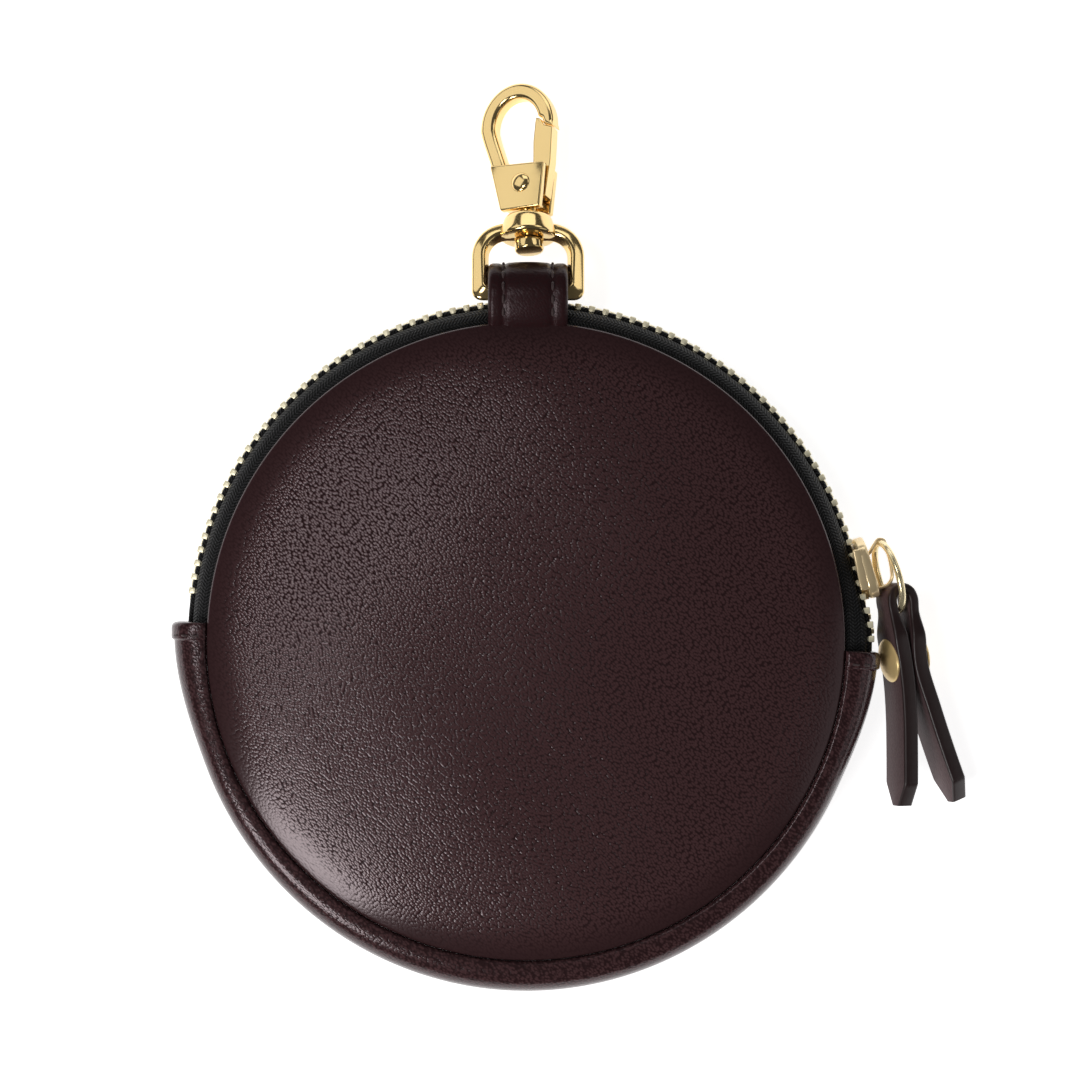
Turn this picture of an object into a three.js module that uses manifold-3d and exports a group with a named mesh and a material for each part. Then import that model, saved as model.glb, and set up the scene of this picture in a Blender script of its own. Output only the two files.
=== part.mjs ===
// Round leather zip pouch with a gold swivel clip, lying on its back. Millimetres, +Z up.
// The origin is the middle of the flattened back panel, on the surface that the pouch lies on.
// The clip points along +Y and the zip pull hangs on the +X side.

import * as THREE from 'three';
import { mergeVertices } from 'three/addons/utils/BufferGeometryUtils.js';
import Module from 'manifold-3d';

const wasm = await Module();
wasm.setup();

// Pouch body
const PANEL_RADIUS = 47.5;
const PANEL_CROWN = 5.5;
const PANEL_WALL = 1.5;
const PANEL_SEGMENTS = 40;
const MID_HEIGHT = 8.5;
const SEAM_HALF_DEPTH = 5;
const FRONT_SEAM = MID_HEIGHT + SEAM_HALF_DEPTH;
const BACK_SEAM = MID_HEIGHT - SEAM_HALF_DEPTH;

// Gusset round the lower half, with a turned hem at each end
const GUSSET_START = 177;
const GUSSET_END = 358;
const GUSSET_STEP = 9;
const HEM_ANGLE = 3;
const HEM_RISE = 1.1;
const HEM_HEIGHT_GROWTH = 0.06;

// Zip round the upper half
const ZIP_START = -1.5;
const ZIP_END = 176.5;
const TAPE_STEP = 7.5;
const TAPE_THICKNESS = 0.8;
const TOOTH_PITCH_RADIUS = 50.6;
const TOOTH_PITCH = 2.1;
const TOOTH_LENGTH = 0.84;
const ROW_SPREAD = 1.4;
const SPREAD_FROM = 15;
const SPREAD_TO = 9.5;

// Slider, in its own frame: out from the pouch, along the zip, and rise from the middle height
const SLIDER_ANGLE = 12;
const SLIDER_LENGTH = 9.4;
const SLIDER_HALF_WIDTH = 4.2;
const SLIDER_PLATE_IN = 51.65;
const SLIDER_PLATE_OUT = 52.55;
const SLIDER_LIP_IN = 50.75;
const SLIDER_LIP_WIDTH = 0.75;
const SLIDER_INNER_IN = 48.5;
const SLIDER_INNER_OUT = 49.3;
const SLIDER_INNER_HALF_WIDTH = 1.5;
const SLIDER_POST_HALF_WIDTH = 0.4;
const SLIDER_POST_LENGTH = 1.6;
const SLIDER_TAPER = 1.2;
const SLIDER_BEVEL = 0.2;
const BRIDGE_HALF_WIDTH = 0.8;
const BRIDGE_BEVEL = 0.15;

// Pull: wire ring, folded leather strap and rivet
const PULL_LEAN = 27;
const RING_TURN = 20;
const RING_RADIUS = 5;
const RING_WIRE = 0.55;
const RING_SQUEEZE = 0.78;
const STRAP_HANG = { x: 56.3, y: 4.5, z: MID_HEIGHT };
const FOLD_RADIUS = 1.75;
const FOLD_CENTRE = { across: -0.25, along: 1.7 };
const FOLD_TURN = 14;
const FOLD_THICKNESS = 1.5;
const FOLD_WIDTH = 4.8;
const RIVET_ALONG = -7.4;
const RIVET_RISE = -0.7;
const RIVET_SHAFT = 1;
const RIVET_HOLE = 1.3;
const RIVET_CAP_RADIUS = 3.1;
const RIVET_CAP_HEIGHT = 0.7;
const RIVET_FACES = { left: -1.6, right: 3.6 };

// Leather hanger loop
const CLIP_X = 0.3;
const LOOP_HALF_WIDTH = 6;
const LOOP_WALL = 1.6;

// Clip: ring with swivel collar, measured from the middle of the ring's bar
const BAR_Y = 52.2;
const BAR_Z = 12;
const CLIP_SLOPE = 17.2;
const CLIP_RING_HALF_WIDTH = 8.3;
const CLIP_RING_SIDE = 2;
const CLIP_RING_BOTTOM = -1;
const CLIP_RING_TOP = 11;
const CLIP_RING_BAR = 2;
const CLIP_RING_HALF_THICKNESS = 1.2;
const CLIP_RING_BEVEL = 0.35;
const CLIP_RING_TOP_CORNER = 5.2;
const CLIP_RING_BOTTOM_CORNER = 1.4;
const CLIP_RING_INNER_CORNER = 0.5;
const COLLAR_AT = 10.8;
const COLLAR_HALF_LENGTH = 1.9;
const COLLAR_BORE = 1.85;

// Hook, measured from the middle of the collar along the stem
const HOOK_LEAN = 3;
const HOOK_TWIST = 24;
const STEM_RADIUS = 1.5;
const STEM_HEAD_RADIUS = 2.2;
const STEM_HEAD_TOP = -2.3;
const STEM_HEAD_BOTTOM = -4.1;
const STEM_HEAD_CHAMFER = 0.4;
const STEM_SEAT = 0.6;
const BASE_BOTTOM = 2.6;
const BASE_TOP = 9.5;
const FLOOR_WIDTH = 5.4;
const FLOOR_HEIGHT = 1;
const FLOOR_X = -0.2;
const FLOOR_LIFT = 0.1;
const PLATE_INNER = 1.4;
const PLATE_OUTER = 2.75;
const PLATE_BEVEL = 0.2;
const HOOK_HALF_THICKNESS = 1.4;
const HOOK_BEVEL = 0.4;
const EYE_CENTRE = 16.3;
const EYE_OUTER = 6.1;
const EYE_INNER = 3.6;
const ARM_FOOT = { left: -4.35, right: -2.5, sunk: 0.6 };
const NOSE_ANGLE = -15;
const GATE_PIVOT = { x: 0.3, y: 6.2 };
const GATE_HALF_THICKNESS = 1.1;
const GATE_HUB = 1.9;
const GATE_HOLE = 1.2;
const GATE_BEVEL = 0.2;
const GATE_HUB_FROM = -70;
const GATE_HUB_TO = -230;
const GATE_RIVET_SHAFT = 0.9;
const GATE_RIVET_HEAD = 1.35;
const GATE_RIVET_RISE = 0.45;
const SEAT_GAP = 0.15;

// Pieces that are fused reach this far into each other
const JOIN_OVERLAP = 0.3;

const LEATHER = { color: 0x2b1a1b, roughness: 0.48, metalness: 0 };
const LEATHER_EDGE = { color: 0x2a1b1a, roughness: 0.6, metalness: 0 };
const TAPE = { color: 0x0b0b0c, roughness: 0.85, metalness: 0 };
const GOLD = { color: 0xe6bd6c, roughness: 0.12, metalness: 1 };
const TOOTH_GOLD = { color: 0xe3d08c, roughness: 0.25, metalness: 1 };

const radians = THREE.MathUtils.degToRad;

// Point at an angle about the pouch's axis, at a radius and a height
function around(angle, radius, height) {
  const turn = radians(angle);
  return new THREE.Vector3(radius * Math.cos(turn), radius * Math.sin(turn), height);
}

// Angles from start to end in even steps no longer than the given step
function angleSteps(start, end, step) {
  const count = Math.ceil((end - start) / step);
  return Array.from({ length: count + 1 }, (_, index) => start + ((end - start) * index) / count);
}

// Geometry with shared vertices merged, collapsed triangles dropped and faces pointing out
function closedGeometry(geometry) {
  const bare = geometry.clone();
  bare.deleteAttribute('normal');
  bare.deleteAttribute('uv');
  const merged = mergeVertices(bare, 1e-4);
  const spots = merged.attributes.position;
  const corner = (vertex) => new THREE.Vector3().fromBufferAttribute(spots, vertex);
  const kept = [];
  let volume = 0;
  for (let first = 0; first < merged.index.count; first += 3) {
    const [a, b, c] = [0, 1, 2].map((offset) => merged.index.getX(first + offset));
    if (a === b || b === c || c === a) continue;
    kept.push([a, b, c]);
    volume += corner(a).dot(corner(b).cross(corner(c)));
  }
  const facing = volume < 0 ? kept.map(([a, b, c]) => [a, c, b]) : kept;
  merged.setIndex(facing.flat());
  return merged;
}

function toSolid(geometry) {
  const closed = closedGeometry(geometry);
  const vertProperties = new Float32Array(closed.attributes.position.array);
  const triVerts = new Uint32Array(closed.index.array);
  return new wasm.Manifold(new wasm.Mesh({ numProp: 3, vertProperties, triVerts }));
}

function toGeometry(solid) {
  const { vertProperties, triVerts } = solid.getMesh();
  const geometry = new THREE.BufferGeometry();
  geometry.setAttribute('position', new THREE.BufferAttribute(new Float32Array(vertProperties), 3));
  geometry.setIndex(Array.from(triVerts));
  return geometry;
}

// Joins the first geometries and cuts the others out of them
function joinAndCut(joined, cut = []) {
  const whole = joined.map(toSolid).reduce((sum, solid) => sum.add(solid));
  return toGeometry(cut.map(toSolid).reduce((rest, solid) => rest.subtract(solid), whole));
}

// Solid through a row of wall sections, each with as many outer as inner points
function wallLoft(sections) {
  const points = [];
  const index = [];
  const half = sections[0].outer.length;
  const loop = half * 2;
  for (const { outer, inner } of sections) points.push(...outer, ...inner.toReversed());
  for (let ring = 0; ring < sections.length - 1; ring += 1) {
    for (let side = 0; side < loop; side += 1) {
      const a = ring * loop + side;
      const b = ring * loop + ((side + 1) % loop);
      index.push(a, b, a + loop, b, b + loop, a + loop);
    }
  }
  const last = (sections.length - 1) * loop;
  for (let side = 0; side < half - 1; side += 1) {
    const [a, b, c, d] = [side, side + 1, loop - 2 - side, loop - 1 - side];
    index.push(a, d, b, b, d, c);
    index.push(last + a, last + b, last + d, last + b, last + c, last + d);
  }
  const geometry = new THREE.BufferGeometry().setFromPoints(points);
  geometry.setIndex(index);
  return closedGeometry(geometry);
}

// Turns a plate drawn in X and Y so that its width lies along Y, its height along Z and it faces +X
const FACING_OUT = new THREE.Matrix4().makeBasis(
  new THREE.Vector3(0, 1, 0),
  new THREE.Vector3(0, 0, 1),
  new THREE.Vector3(1, 0, 0),
);

function namedMesh(name, geometry, finish) {
  const mesh = new THREE.Mesh(closedGeometry(geometry), new THREE.MeshStandardMaterial(finish));
  mesh.name = name;
  return mesh;
}

// Shape from corner points given as [x, y] pairs
function outline(corners) {
  return new THREE.Shape(corners.map(([x, y]) => new THREE.Vector2(x, y)));
}

// Plate between two heights, its edges bevelled where a bevel is given
function plate(shape, low, high, bevel = 0, curveSegments = 6) {
  const geometry = new THREE.ExtrudeGeometry(shape, {
    depth: high - low - 2 * bevel,
    bevelEnabled: bevel > 0,
    bevelThickness: bevel,
    bevelSize: bevel,
    bevelOffset: -bevel,
    bevelSegments: 1,
    curveSegments,
  });
  return geometry.translate(0, 0, low + bevel);
}

// Round bar along Z between two heights
function roundBar(radius, low, high, sides = 16) {
  const bar = new THREE.CylinderGeometry(radius, radius, high - low, sides);
  return bar.rotateX(Math.PI / 2).translate(0, 0, (low + high) / 2);
}

// Domed panel: the outer face and the inner face are like curves one wall apart
function panelProfile(angles, heightOf) {
  const face = (radius, crown, wall) => angles.map((angle) => {
    const turn = radians(angle);
    return new THREE.Vector2(radius * Math.sqrt(Math.sin(turn)), heightOf(crown * Math.cos(turn), wall));
  });
  const outer = face(PANEL_RADIUS, PANEL_CROWN, 0);
  const inner = face(PANEL_RADIUS - PANEL_WALL, PANEL_CROWN - PANEL_WALL, PANEL_WALL);
  return [...outer, ...inner.toReversed()];
}

function frontPanel() {
  const angles = [0, 8, 18, 30, 45, 60, 75, 90];
  const profile = panelProfile(angles, (rise) => FRONT_SEAM + rise);
  const panel = new THREE.LatheGeometry(profile, PANEL_SEGMENTS).rotateX(Math.PI / 2);
  return namedMesh('front_panel', panel, LEATHER);
}

// The back panel is the same dome, pressed flat where the pouch lies on it
function backPanel() {
  const flatEnds = THREE.MathUtils.radToDeg(Math.acos(BACK_SEAM / PANEL_CROWN));
  const angles = [0, 12, flatEnds, 62, 76, 90];
  const profile = panelProfile(angles, (drop, wall) => Math.max(wall, BACK_SEAM - drop));
  const panel = new THREE.LatheGeometry(profile, PANEL_SEGMENTS).rotateX(Math.PI / 2);
  return namedMesh('back_panel', panel, LEATHER);
}

// Front half of the gusset's section: radius and height above the middle, outside and inside
const GUSSET_ROWS = [
  { outerRadius: 47.85, outerRise: 4.1, innerRadius: 49.0, innerRise: 3.7 },
  { outerRadius: 48.1, outerRise: 5.1, innerRadius: 49.15, innerRise: 4.1 },
  { outerRadius: 48.9, outerRise: 5.75, innerRadius: 49.4, innerRise: 4.35 },
  { outerRadius: 49.9, outerRise: 5.4, innerRadius: 49.7, innerRise: 4.05 },
  { outerRadius: 50.9, outerRise: 4.1, innerRadius: 50.0, innerRise: 3.3 },
  { outerRadius: 51.55, outerRise: 2.2, innerRadius: 50.3, innerRise: 1.9 },
  { outerRadius: 51.8, outerRise: 0, innerRadius: 50.4, innerRise: 0 },
];

function gussetSection(angle, hem) {
  const mirrored = GUSSET_ROWS.slice(0, -1).toReversed().map((row) => ({
    ...row,
    outerRise: -row.outerRise,
    innerRise: -row.innerRise,
  }));
  const rows = [...GUSSET_ROWS, ...mirrored];
  const lipRadius = GUSSET_ROWS[0].outerRadius;
  const bellyRadius = GUSSET_ROWS.at(-1).outerRadius;
  const outer = rows.map((row) => {
    const share = (row.outerRadius - lipRadius) / (bellyRadius - lipRadius);
    const rise = row.outerRise * (1 + hem * HEM_HEIGHT_GROWTH);
    return around(angle, row.outerRadius + hem * share * HEM_RISE, MID_HEIGHT + rise);
  });
  const inner = rows.map((row) => around(angle, row.innerRadius, MID_HEIGHT + row.innerRise));
  return { outer, inner };
}

// The hems at both ends are turned back on themselves, so they stand proud by a step
function gusset() {
  const hemStep = 0.25;
  const runStart = GUSSET_START + HEM_ANGLE;
  const runEnd = GUSSET_END - HEM_ANGLE;
  const stations = [
    { angle: GUSSET_START, hem: 1 },
    { angle: runStart - hemStep, hem: 1 },
    ...angleSteps(runStart, runEnd, GUSSET_STEP).map((angle) => ({ angle, hem: 0 })),
    { angle: runEnd + hemStep, hem: 1 },
    { angle: GUSSET_END, hem: 1 },
  ];
  const sections = stations.map(({ angle, hem }) => gussetSection(angle, hem));
  return namedMesh('gusset', wallLoft(sections), LEATHER);
}

// Past the slider the two rows of teeth stand apart by this much each
function rowSpread(angle) {
  return ROW_SPREAD * (1 - THREE.MathUtils.smoothstep(angle, SPREAD_TO, SPREAD_FROM));
}

// Middle line of a tape, from under the panel's edge down to the teeth; rise is above the middle
const TAPE_ROWS = [
  { radius: 46.3, rise: 4.3, spread: 0 },
  { radius: 47.9, rise: 4.15, spread: 0 },
  { radius: 49.3, rise: 3.45, spread: 0.5 },
  { radius: 50.2, rise: 2.55, spread: 1 },
];

function zipTape(name, side) {
  const sections = angleSteps(ZIP_START, ZIP_END, TAPE_STEP).map((angle) => {
    const line = TAPE_ROWS.map((row) => {
      const rise = row.rise + row.spread * rowSpread(angle);
      return { radius: row.radius, rise };
    });
    const offset = (sign) => line.map(({ radius, rise }, index) => {
      const before = line[Math.max(index - 1, 0)];
      const after = line[Math.min(index + 1, line.length - 1)];
      const run = Math.hypot(after.radius - before.radius, after.rise - before.rise);
      const shift = (sign * TAPE_THICKNESS) / 2 / run;
      const shiftedRise = rise + shift * (after.radius - before.radius);
      const shiftedRadius = radius - shift * (after.rise - before.rise);
      return around(angle, shiftedRadius, MID_HEIGHT + side * shiftedRise);
    });
    return { outer: offset(1), inner: offset(-1) };
  });
  return namedMesh(name, wallLoft(sections), TAPE);
}

// Section of a row of teeth: the bead between two teeth, and a tooth that clamps it
const BEAD = { radiusIn: 50.1, radiusOut: 51.0, riseTop: 1.55, riseTip: 0.95 };
const TOOTH = { radiusIn: 49.85, radiusOut: 51.3, riseTop: 1.75, riseTip: -0.5 };

function teethSection(angle, side, section) {
  const spread = rowSpread(angle);
  const top = MID_HEIGHT + side * (section.riseTop + spread);
  const tip = MID_HEIGHT + side * (section.riseTip + spread);
  const outer = [around(angle, section.radiusOut, top), around(angle, section.radiusOut, tip)];
  const inner = [around(angle, section.radiusIn, top), around(angle, section.radiusIn, tip)];
  return { outer, inner };
}

// One row of teeth fused to its bead; the other row is set off by half a pitch
function zipTeeth(name, side, setOff) {
  const degreesPerMillimetre = 180 / (Math.PI * TOOTH_PITCH_RADIUS);
  const pitch = TOOTH_PITCH * degreesPerMillimetre;
  const halfTooth = (TOOTH_LENGTH * degreesPerMillimetre) / 2;
  const count = Math.floor((ZIP_END - ZIP_START) / pitch) - 1;
  const sections = [teethSection(ZIP_START, side, BEAD)];
  for (let tooth = 0; tooth < count; tooth += 1) {
    const middle = ZIP_START + pitch * (tooth + 0.75 + setOff);
    sections.push(teethSection(middle - halfTooth, side, BEAD));
    sections.push(teethSection(middle - halfTooth, side, TOOTH));
    sections.push(teethSection(middle + halfTooth, side, TOOTH));
    sections.push(teethSection(middle + halfTooth, side, BEAD));
  }
  sections.push(teethSection(ZIP_END, side, BEAD));
  return namedMesh(name, wallLoft(sections), TOOTH_GOLD);
}

// Box in the slider's frame: x out from the pouch, y along the zip, z from the middle
function sliderBox(out, along, rise) {
  const box = new THREE.BoxGeometry(out[1] - out[0], along[1] - along[0], rise[1] - rise[0]);
  return box.translate((out[0] + out[1]) / 2, (along[0] + along[1]) / 2, (rise[0] + rise[1]) / 2);
}

// Side view of the bridge: distance out and place along the zip, counter-clockwise
const BRIDGE_OUTER = [[52.3, -2.5], [54.8, -2.2], [56.1, -0.8], [56.3, 4.3], [55.6, 4.7], [52.3, 4.8]];
const BRIDGE_INNER = [[52.75, -1.7], [54.4, -1.5], [55.4, -0.5], [55.6, 3.8], [52.75, 4.0]];

function slider() {
  const half = SLIDER_LENGTH / 2;
  const flank = half - SLIDER_TAPER;
  const shoulder = SLIDER_HALF_WIDTH - SLIDER_TAPER;
  const shield = outline([
    [-half, -shoulder],
    [-flank, -SLIDER_HALF_WIDTH],
    [flank, -SLIDER_HALF_WIDTH],
    [half, -shoulder],
    [half, shoulder],
    [flank, SLIDER_HALF_WIDTH],
    [-flank, SLIDER_HALF_WIDTH],
    [-half, shoulder],
  ]);
  const front = plate(shield, SLIDER_PLATE_IN, SLIDER_PLATE_OUT, SLIDER_BEVEL).applyMatrix4(FACING_OUT);
  const weld = SLIDER_PLATE_IN + JOIN_OVERLAP;
  const lips = [-1, 1].map((side) => {
    const edges = [SLIDER_HALF_WIDTH - SLIDER_LIP_WIDTH, SLIDER_HALF_WIDTH].map((rise) => rise * side);
    return sliderBox([SLIDER_LIP_IN, weld], [-flank, flank], edges.sort((a, b) => a - b));
  });
  const postAlong = [-half, -half + SLIDER_POST_LENGTH];
  const postRise = [-SLIDER_POST_HALF_WIDTH, SLIDER_POST_HALF_WIDTH];
  const post = sliderBox([SLIDER_INNER_IN + JOIN_OVERLAP, weld], postAlong, postRise);
  const innerRise = [-SLIDER_INNER_HALF_WIDTH, SLIDER_INNER_HALF_WIDTH];
  const back = sliderBox([SLIDER_INNER_IN, SLIDER_INNER_OUT], [-half, flank], innerRise);
  const arch = outline(BRIDGE_OUTER);
  arch.holes.push(outline(BRIDGE_INNER));
  const bridge = plate(arch, -BRIDGE_HALF_WIDTH, BRIDGE_HALF_WIDTH, BRIDGE_BEVEL);
  const mesh = namedMesh('zip_slider', joinAndCut([front, ...lips, post, back, bridge]), GOLD);
  mesh.position.z = MID_HEIGHT;
  mesh.rotation.z = radians(SLIDER_ANGLE);
  return mesh;
}

// The ring runs through the slider's bridge at its top and through the fold of the strap at its foot
function pullRing() {
  const ring = new THREE.TorusGeometry(RING_RADIUS, RING_WIRE, 6, 28);
  const upright = ring.rotateY(Math.PI / 2).scale(1, 1, RING_SQUEEZE).translate(0, RING_RADIUS, 0);
  const mesh = namedMesh('pull_ring', upright, GOLD);
  mesh.position.set(STRAP_HANG.x, STRAP_HANG.y, STRAP_HANG.z);
  mesh.rotation.set(0, radians(PULL_LEAN), radians(RING_TURN), 'ZYX');
  return mesh;
}

// Strap stations below the fold, from the rivet's side of the fold to the free end of each leg
const LEFT_LEG = [
  { across: -1.6, along: 0, rise: 0, thickness: 1.5, width: 5 },
  { across: -0.3, along: -3.9, rise: -0.4, thickness: 2.3, width: 6.7 },
  { across: -0.3, along: -11, rise: -0.9, thickness: 2.3, width: 7 },
  { across: 0.9, along: -18, rise: -2.0, thickness: 2.3, width: 7 },
  { across: 1.9, along: -27.2, rise: -3.2, thickness: 2.3, width: 7 },
  { across: 2.0, along: -29.4, rise: -3.4, thickness: 2.3, width: 3 },
];
const RIGHT_LEG = [
  { across: 1.6, along: 0, rise: 0, thickness: 1.5, width: 5 },
  { across: 2.3, along: -3.9, rise: -0.4, thickness: 2.3, width: 6.7 },
  { across: 2.3, along: -11, rise: -0.7, thickness: 2.3, width: 7 },
  { across: 5.0, along: -19, rise: -0.8, thickness: 2.3, width: 7 },
  { across: 7.9, along: -26.6, rise: -0.8, thickness: 2.3, width: 7 },
  { across: 8.6, along: -28.7, rise: -0.8, thickness: 2.3, width: 3 },
];

function foldStations() {
  return [180, 135, 90, 45, 0].map((angle) => {
    const turn = radians(angle + FOLD_TURN);
    return {
      across: FOLD_CENTRE.across + FOLD_RADIUS * Math.cos(turn),
      along: FOLD_CENTRE.along + FOLD_RADIUS * Math.sin(turn),
      rise: 0,
      thickness: FOLD_THICKNESS,
      width: FOLD_WIDTH,
    };
  });
}

// Flat band through stations: the wall lies across the path, the width along the frame's Z
function bandSections(stations) {
  return stations.map((station, index) => {
    const before = stations[Math.max(index - 1, 0)];
    const after = stations[Math.min(index + 1, stations.length - 1)];
    const run = new THREE.Vector2(after.across - before.across, after.along - before.along).normalize();
    const corner = (wallSide, widthSide) => new THREE.Vector3(
      station.across - (run.y * wallSide * station.thickness) / 2,
      station.along + (run.x * wallSide * station.thickness) / 2,
      station.rise + (widthSide * station.width) / 2,
    );
    return { outer: [corner(1, 1), corner(1, -1)], inner: [corner(-1, 1), corner(-1, -1)] };
  });
}

function acrossBar(radius, low, high) {
  const bar = roundBar(radius, low, high).rotateY(Math.PI / 2);
  return bar.translate(0, RIVET_ALONG, RIVET_RISE);
}

function pullStrap() {
  const stations = [...LEFT_LEG.toReversed(), ...foldStations(), ...RIGHT_LEG];
  const band = wallLoft(bandSections(stations));
  const hole = acrossBar(RIVET_HOLE, RIVET_FACES.left, RIVET_FACES.right);
  return namedMesh('pull_strap', joinAndCut([band], [hole]), LEATHER_EDGE);
}

// Low dome of a rivet's cap, from its middle to its rim, as shares of its radius and height
const CAP_ROWS = [
  { radius: 0, height: 1 },
  { radius: 0.6, height: 0.85 },
  { radius: 1, height: 0.3 },
  { radius: 1, height: 0 },
];

// Rivet with a cap on the outer face of each leg
function pullRivet() {
  const cap = (face, side) => CAP_ROWS.map(({ radius, height }) => new THREE.Vector2(
    radius * RIVET_CAP_RADIUS,
    face + side * height * RIVET_CAP_HEIGHT,
  ));
  const shaft = [RIVET_FACES.left, RIVET_FACES.right].map((face) => new THREE.Vector2(RIVET_SHAFT, face));
  const profile = [...cap(RIVET_FACES.left, -1), ...shaft, ...cap(RIVET_FACES.right, 1).toReversed()];
  const body = new THREE.LatheGeometry(profile, 16).rotateZ(-Math.PI / 2);
  return namedMesh('pull_rivet', body.translate(0, RIVET_ALONG, RIVET_RISE), GOLD);
}

function strapGroup() {
  const group = new THREE.Group();
  group.position.set(STRAP_HANG.x, STRAP_HANG.y, STRAP_HANG.z);
  group.rotation.y = radians(PULL_LEAN);
  group.add(pullStrap(), pullRivet());
  return group;
}

// Middle line of the hanger loop, from the front seam over the ring's bar to the back seam
const LOOP_ROWS = [
  { out: 47.95, height: 14.35 },
  { out: 49.8, height: 14.95 },
  { out: 52.2, height: 15.2 },
  { out: 54.5, height: 14.4 },
  { out: 55.8, height: 12.3 },
  { out: 56.1, height: 9.4 },
  { out: 55.4, height: 6.4 },
  { out: 53.4, height: 3.9 },
  { out: 50.8, height: 2.7 },
  { out: 47.95, height: 2.55 },
];

function hangerLoop() {
  const stations = LOOP_ROWS.map(({ out, height }) => ({
    across: out,
    along: height,
    rise: 0,
    thickness: LOOP_WALL,
    width: 2 * LOOP_HALF_WIDTH,
  }));
  const band = wallLoft(bandSections(stations)).applyMatrix4(FACING_OUT);
  return namedMesh('hanger_loop', band.translate(CLIP_X, 0, 0), LEATHER);
}

// Upright frame outline with large corners above and small corners below
function frameOutline(halfWidth, bottom, top, topCorner, bottomCorner) {
  const shape = new THREE.Shape();
  shape.moveTo(-halfWidth + bottomCorner, bottom);
  shape.lineTo(halfWidth - bottomCorner, bottom);
  shape.absarc(halfWidth - bottomCorner, bottom + bottomCorner, bottomCorner, -Math.PI / 2, 0);
  shape.lineTo(halfWidth, top - topCorner);
  shape.absarc(halfWidth - topCorner, top - topCorner, topCorner, 0, Math.PI / 2);
  shape.lineTo(-halfWidth + topCorner, top);
  shape.absarc(-halfWidth + topCorner, top - topCorner, topCorner, Math.PI / 2, Math.PI);
  shape.lineTo(-halfWidth, bottom + bottomCorner);
  shape.absarc(-halfWidth + bottomCorner, bottom + bottomCorner, bottomCorner, Math.PI, Math.PI * 1.5);
  return shape;
}

// Barrel of the swivel collar: radius, and place along it as a share of its half length
const COLLAR_ROWS = [
  { radius: 0, share: -1 },
  { radius: 3.75, share: -1 },
  { radius: 4.1, share: -0.55 },
  { radius: 4.1, share: 0.1 },
  { radius: 3.3, share: 1 },
  { radius: 0, share: 1 },
];

function clipRing() {
  const frame = frameOutline(
    CLIP_RING_HALF_WIDTH,
    CLIP_RING_BOTTOM,
    CLIP_RING_TOP,
    CLIP_RING_TOP_CORNER,
    CLIP_RING_BOTTOM_CORNER,
  );
  frame.holes.push(frameOutline(
    CLIP_RING_HALF_WIDTH - CLIP_RING_SIDE,
    CLIP_RING_BOTTOM + CLIP_RING_BAR,
    CLIP_RING_TOP - CLIP_RING_BAR,
    CLIP_RING_TOP_CORNER - CLIP_RING_SIDE,
    CLIP_RING_INNER_CORNER,
  ));
  const thickness = CLIP_RING_HALF_THICKNESS;
  const ring = plate(frame, -thickness, thickness, CLIP_RING_BEVEL, 4);
  const barrel = COLLAR_ROWS.map(({ radius, share }) => (
    new THREE.Vector2(radius, share * COLLAR_HALF_LENGTH)
  ));
  const collar = new THREE.LatheGeometry(barrel, 20).translate(0, COLLAR_AT, 0);
  const bore = new THREE.CylinderGeometry(COLLAR_BORE, COLLAR_BORE, 4 * COLLAR_HALF_LENGTH, 16);
  const geometry = joinAndCut([ring, collar], [bore.translate(0, COLLAR_AT, 0)]);
  return namedMesh('clip_ring', geometry, GOLD);
}

// Side plate of the hook's base, wider at the top
const BASE_CORNERS = [[-4.4, BASE_TOP], [-3.1, BASE_BOTTOM], [2.9, BASE_BOTTOM], [4.0, BASE_TOP]];
// Spine that joins the two side plates along their left edge
const SPINE_CORNERS = [[-4.3, BASE_TOP], [-3.05, BASE_BOTTOM], [-1.9, BASE_BOTTOM], [-2.5, BASE_TOP]];
// Meeting line of hook nose and gate, from the inside of the eye outwards
const NOSE_LINE = [[2.95, 18.1], [3.95, 16.1], [6.5, 14.6]];
// Corner of the nose's underside, cut away again where the gate goes
const NOSE_UNDERSIDE = [[4.2, 12.6], [3.4, 14.8]];
// Room that the gate swings in, closed round the nose line
const ROOM_BEFORE = [1.0, 18.6];
const ROOM_AFTER = [[8, 14], [8, 9.6], [1.0, 9.6]];
const ROOM_HALF_DEPTH = 3;
// Gate's outer edge from the nose down to the thumb end, and its inner edge up to the lip
const GATE_LIP_GAP = { x: 0.35, y: 0.25 };
const GATE_NOTCH_GAP = { x: 0.3, y: 0.3 };
const GATE_HEEL_GAP = { x: 0.75, y: 0.1 };
const GATE_OUTER_EDGE = [[4.75, BASE_TOP], [3.6, 4.1], [2.4, 3.9]];
const GATE_INNER_EDGE = [[2.35, 9.9], [3.05, 14.4]];

// Flat bar from the base's left side, round the eye, to the nose
function hookArm() {
  const shape = new THREE.Shape();
  const foot = BASE_TOP - ARM_FOOT.sunk;
  shape.moveTo(ARM_FOOT.left, foot);
  shape.lineTo(-EYE_OUTER, EYE_CENTRE);
  shape.absarc(0, EYE_CENTRE, EYE_OUTER, Math.PI, radians(NOSE_ANGLE), true);
  for (const [x, y] of NOSE_UNDERSIDE) shape.lineTo(x, y);
  shape.absarc(0, EYE_CENTRE, EYE_INNER, 0, Math.PI, false);
  shape.lineTo(ARM_FOOT.right, foot);
  return plate(shape, -HOOK_HALF_THICKNESS, HOOK_HALF_THICKNESS, HOOK_BEVEL);
}

function gateRoom() {
  return plate(outline([ROOM_BEFORE, ...NOSE_LINE, ...ROOM_AFTER]), -ROOM_HALF_DEPTH, ROOM_HALF_DEPTH);
}

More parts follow.
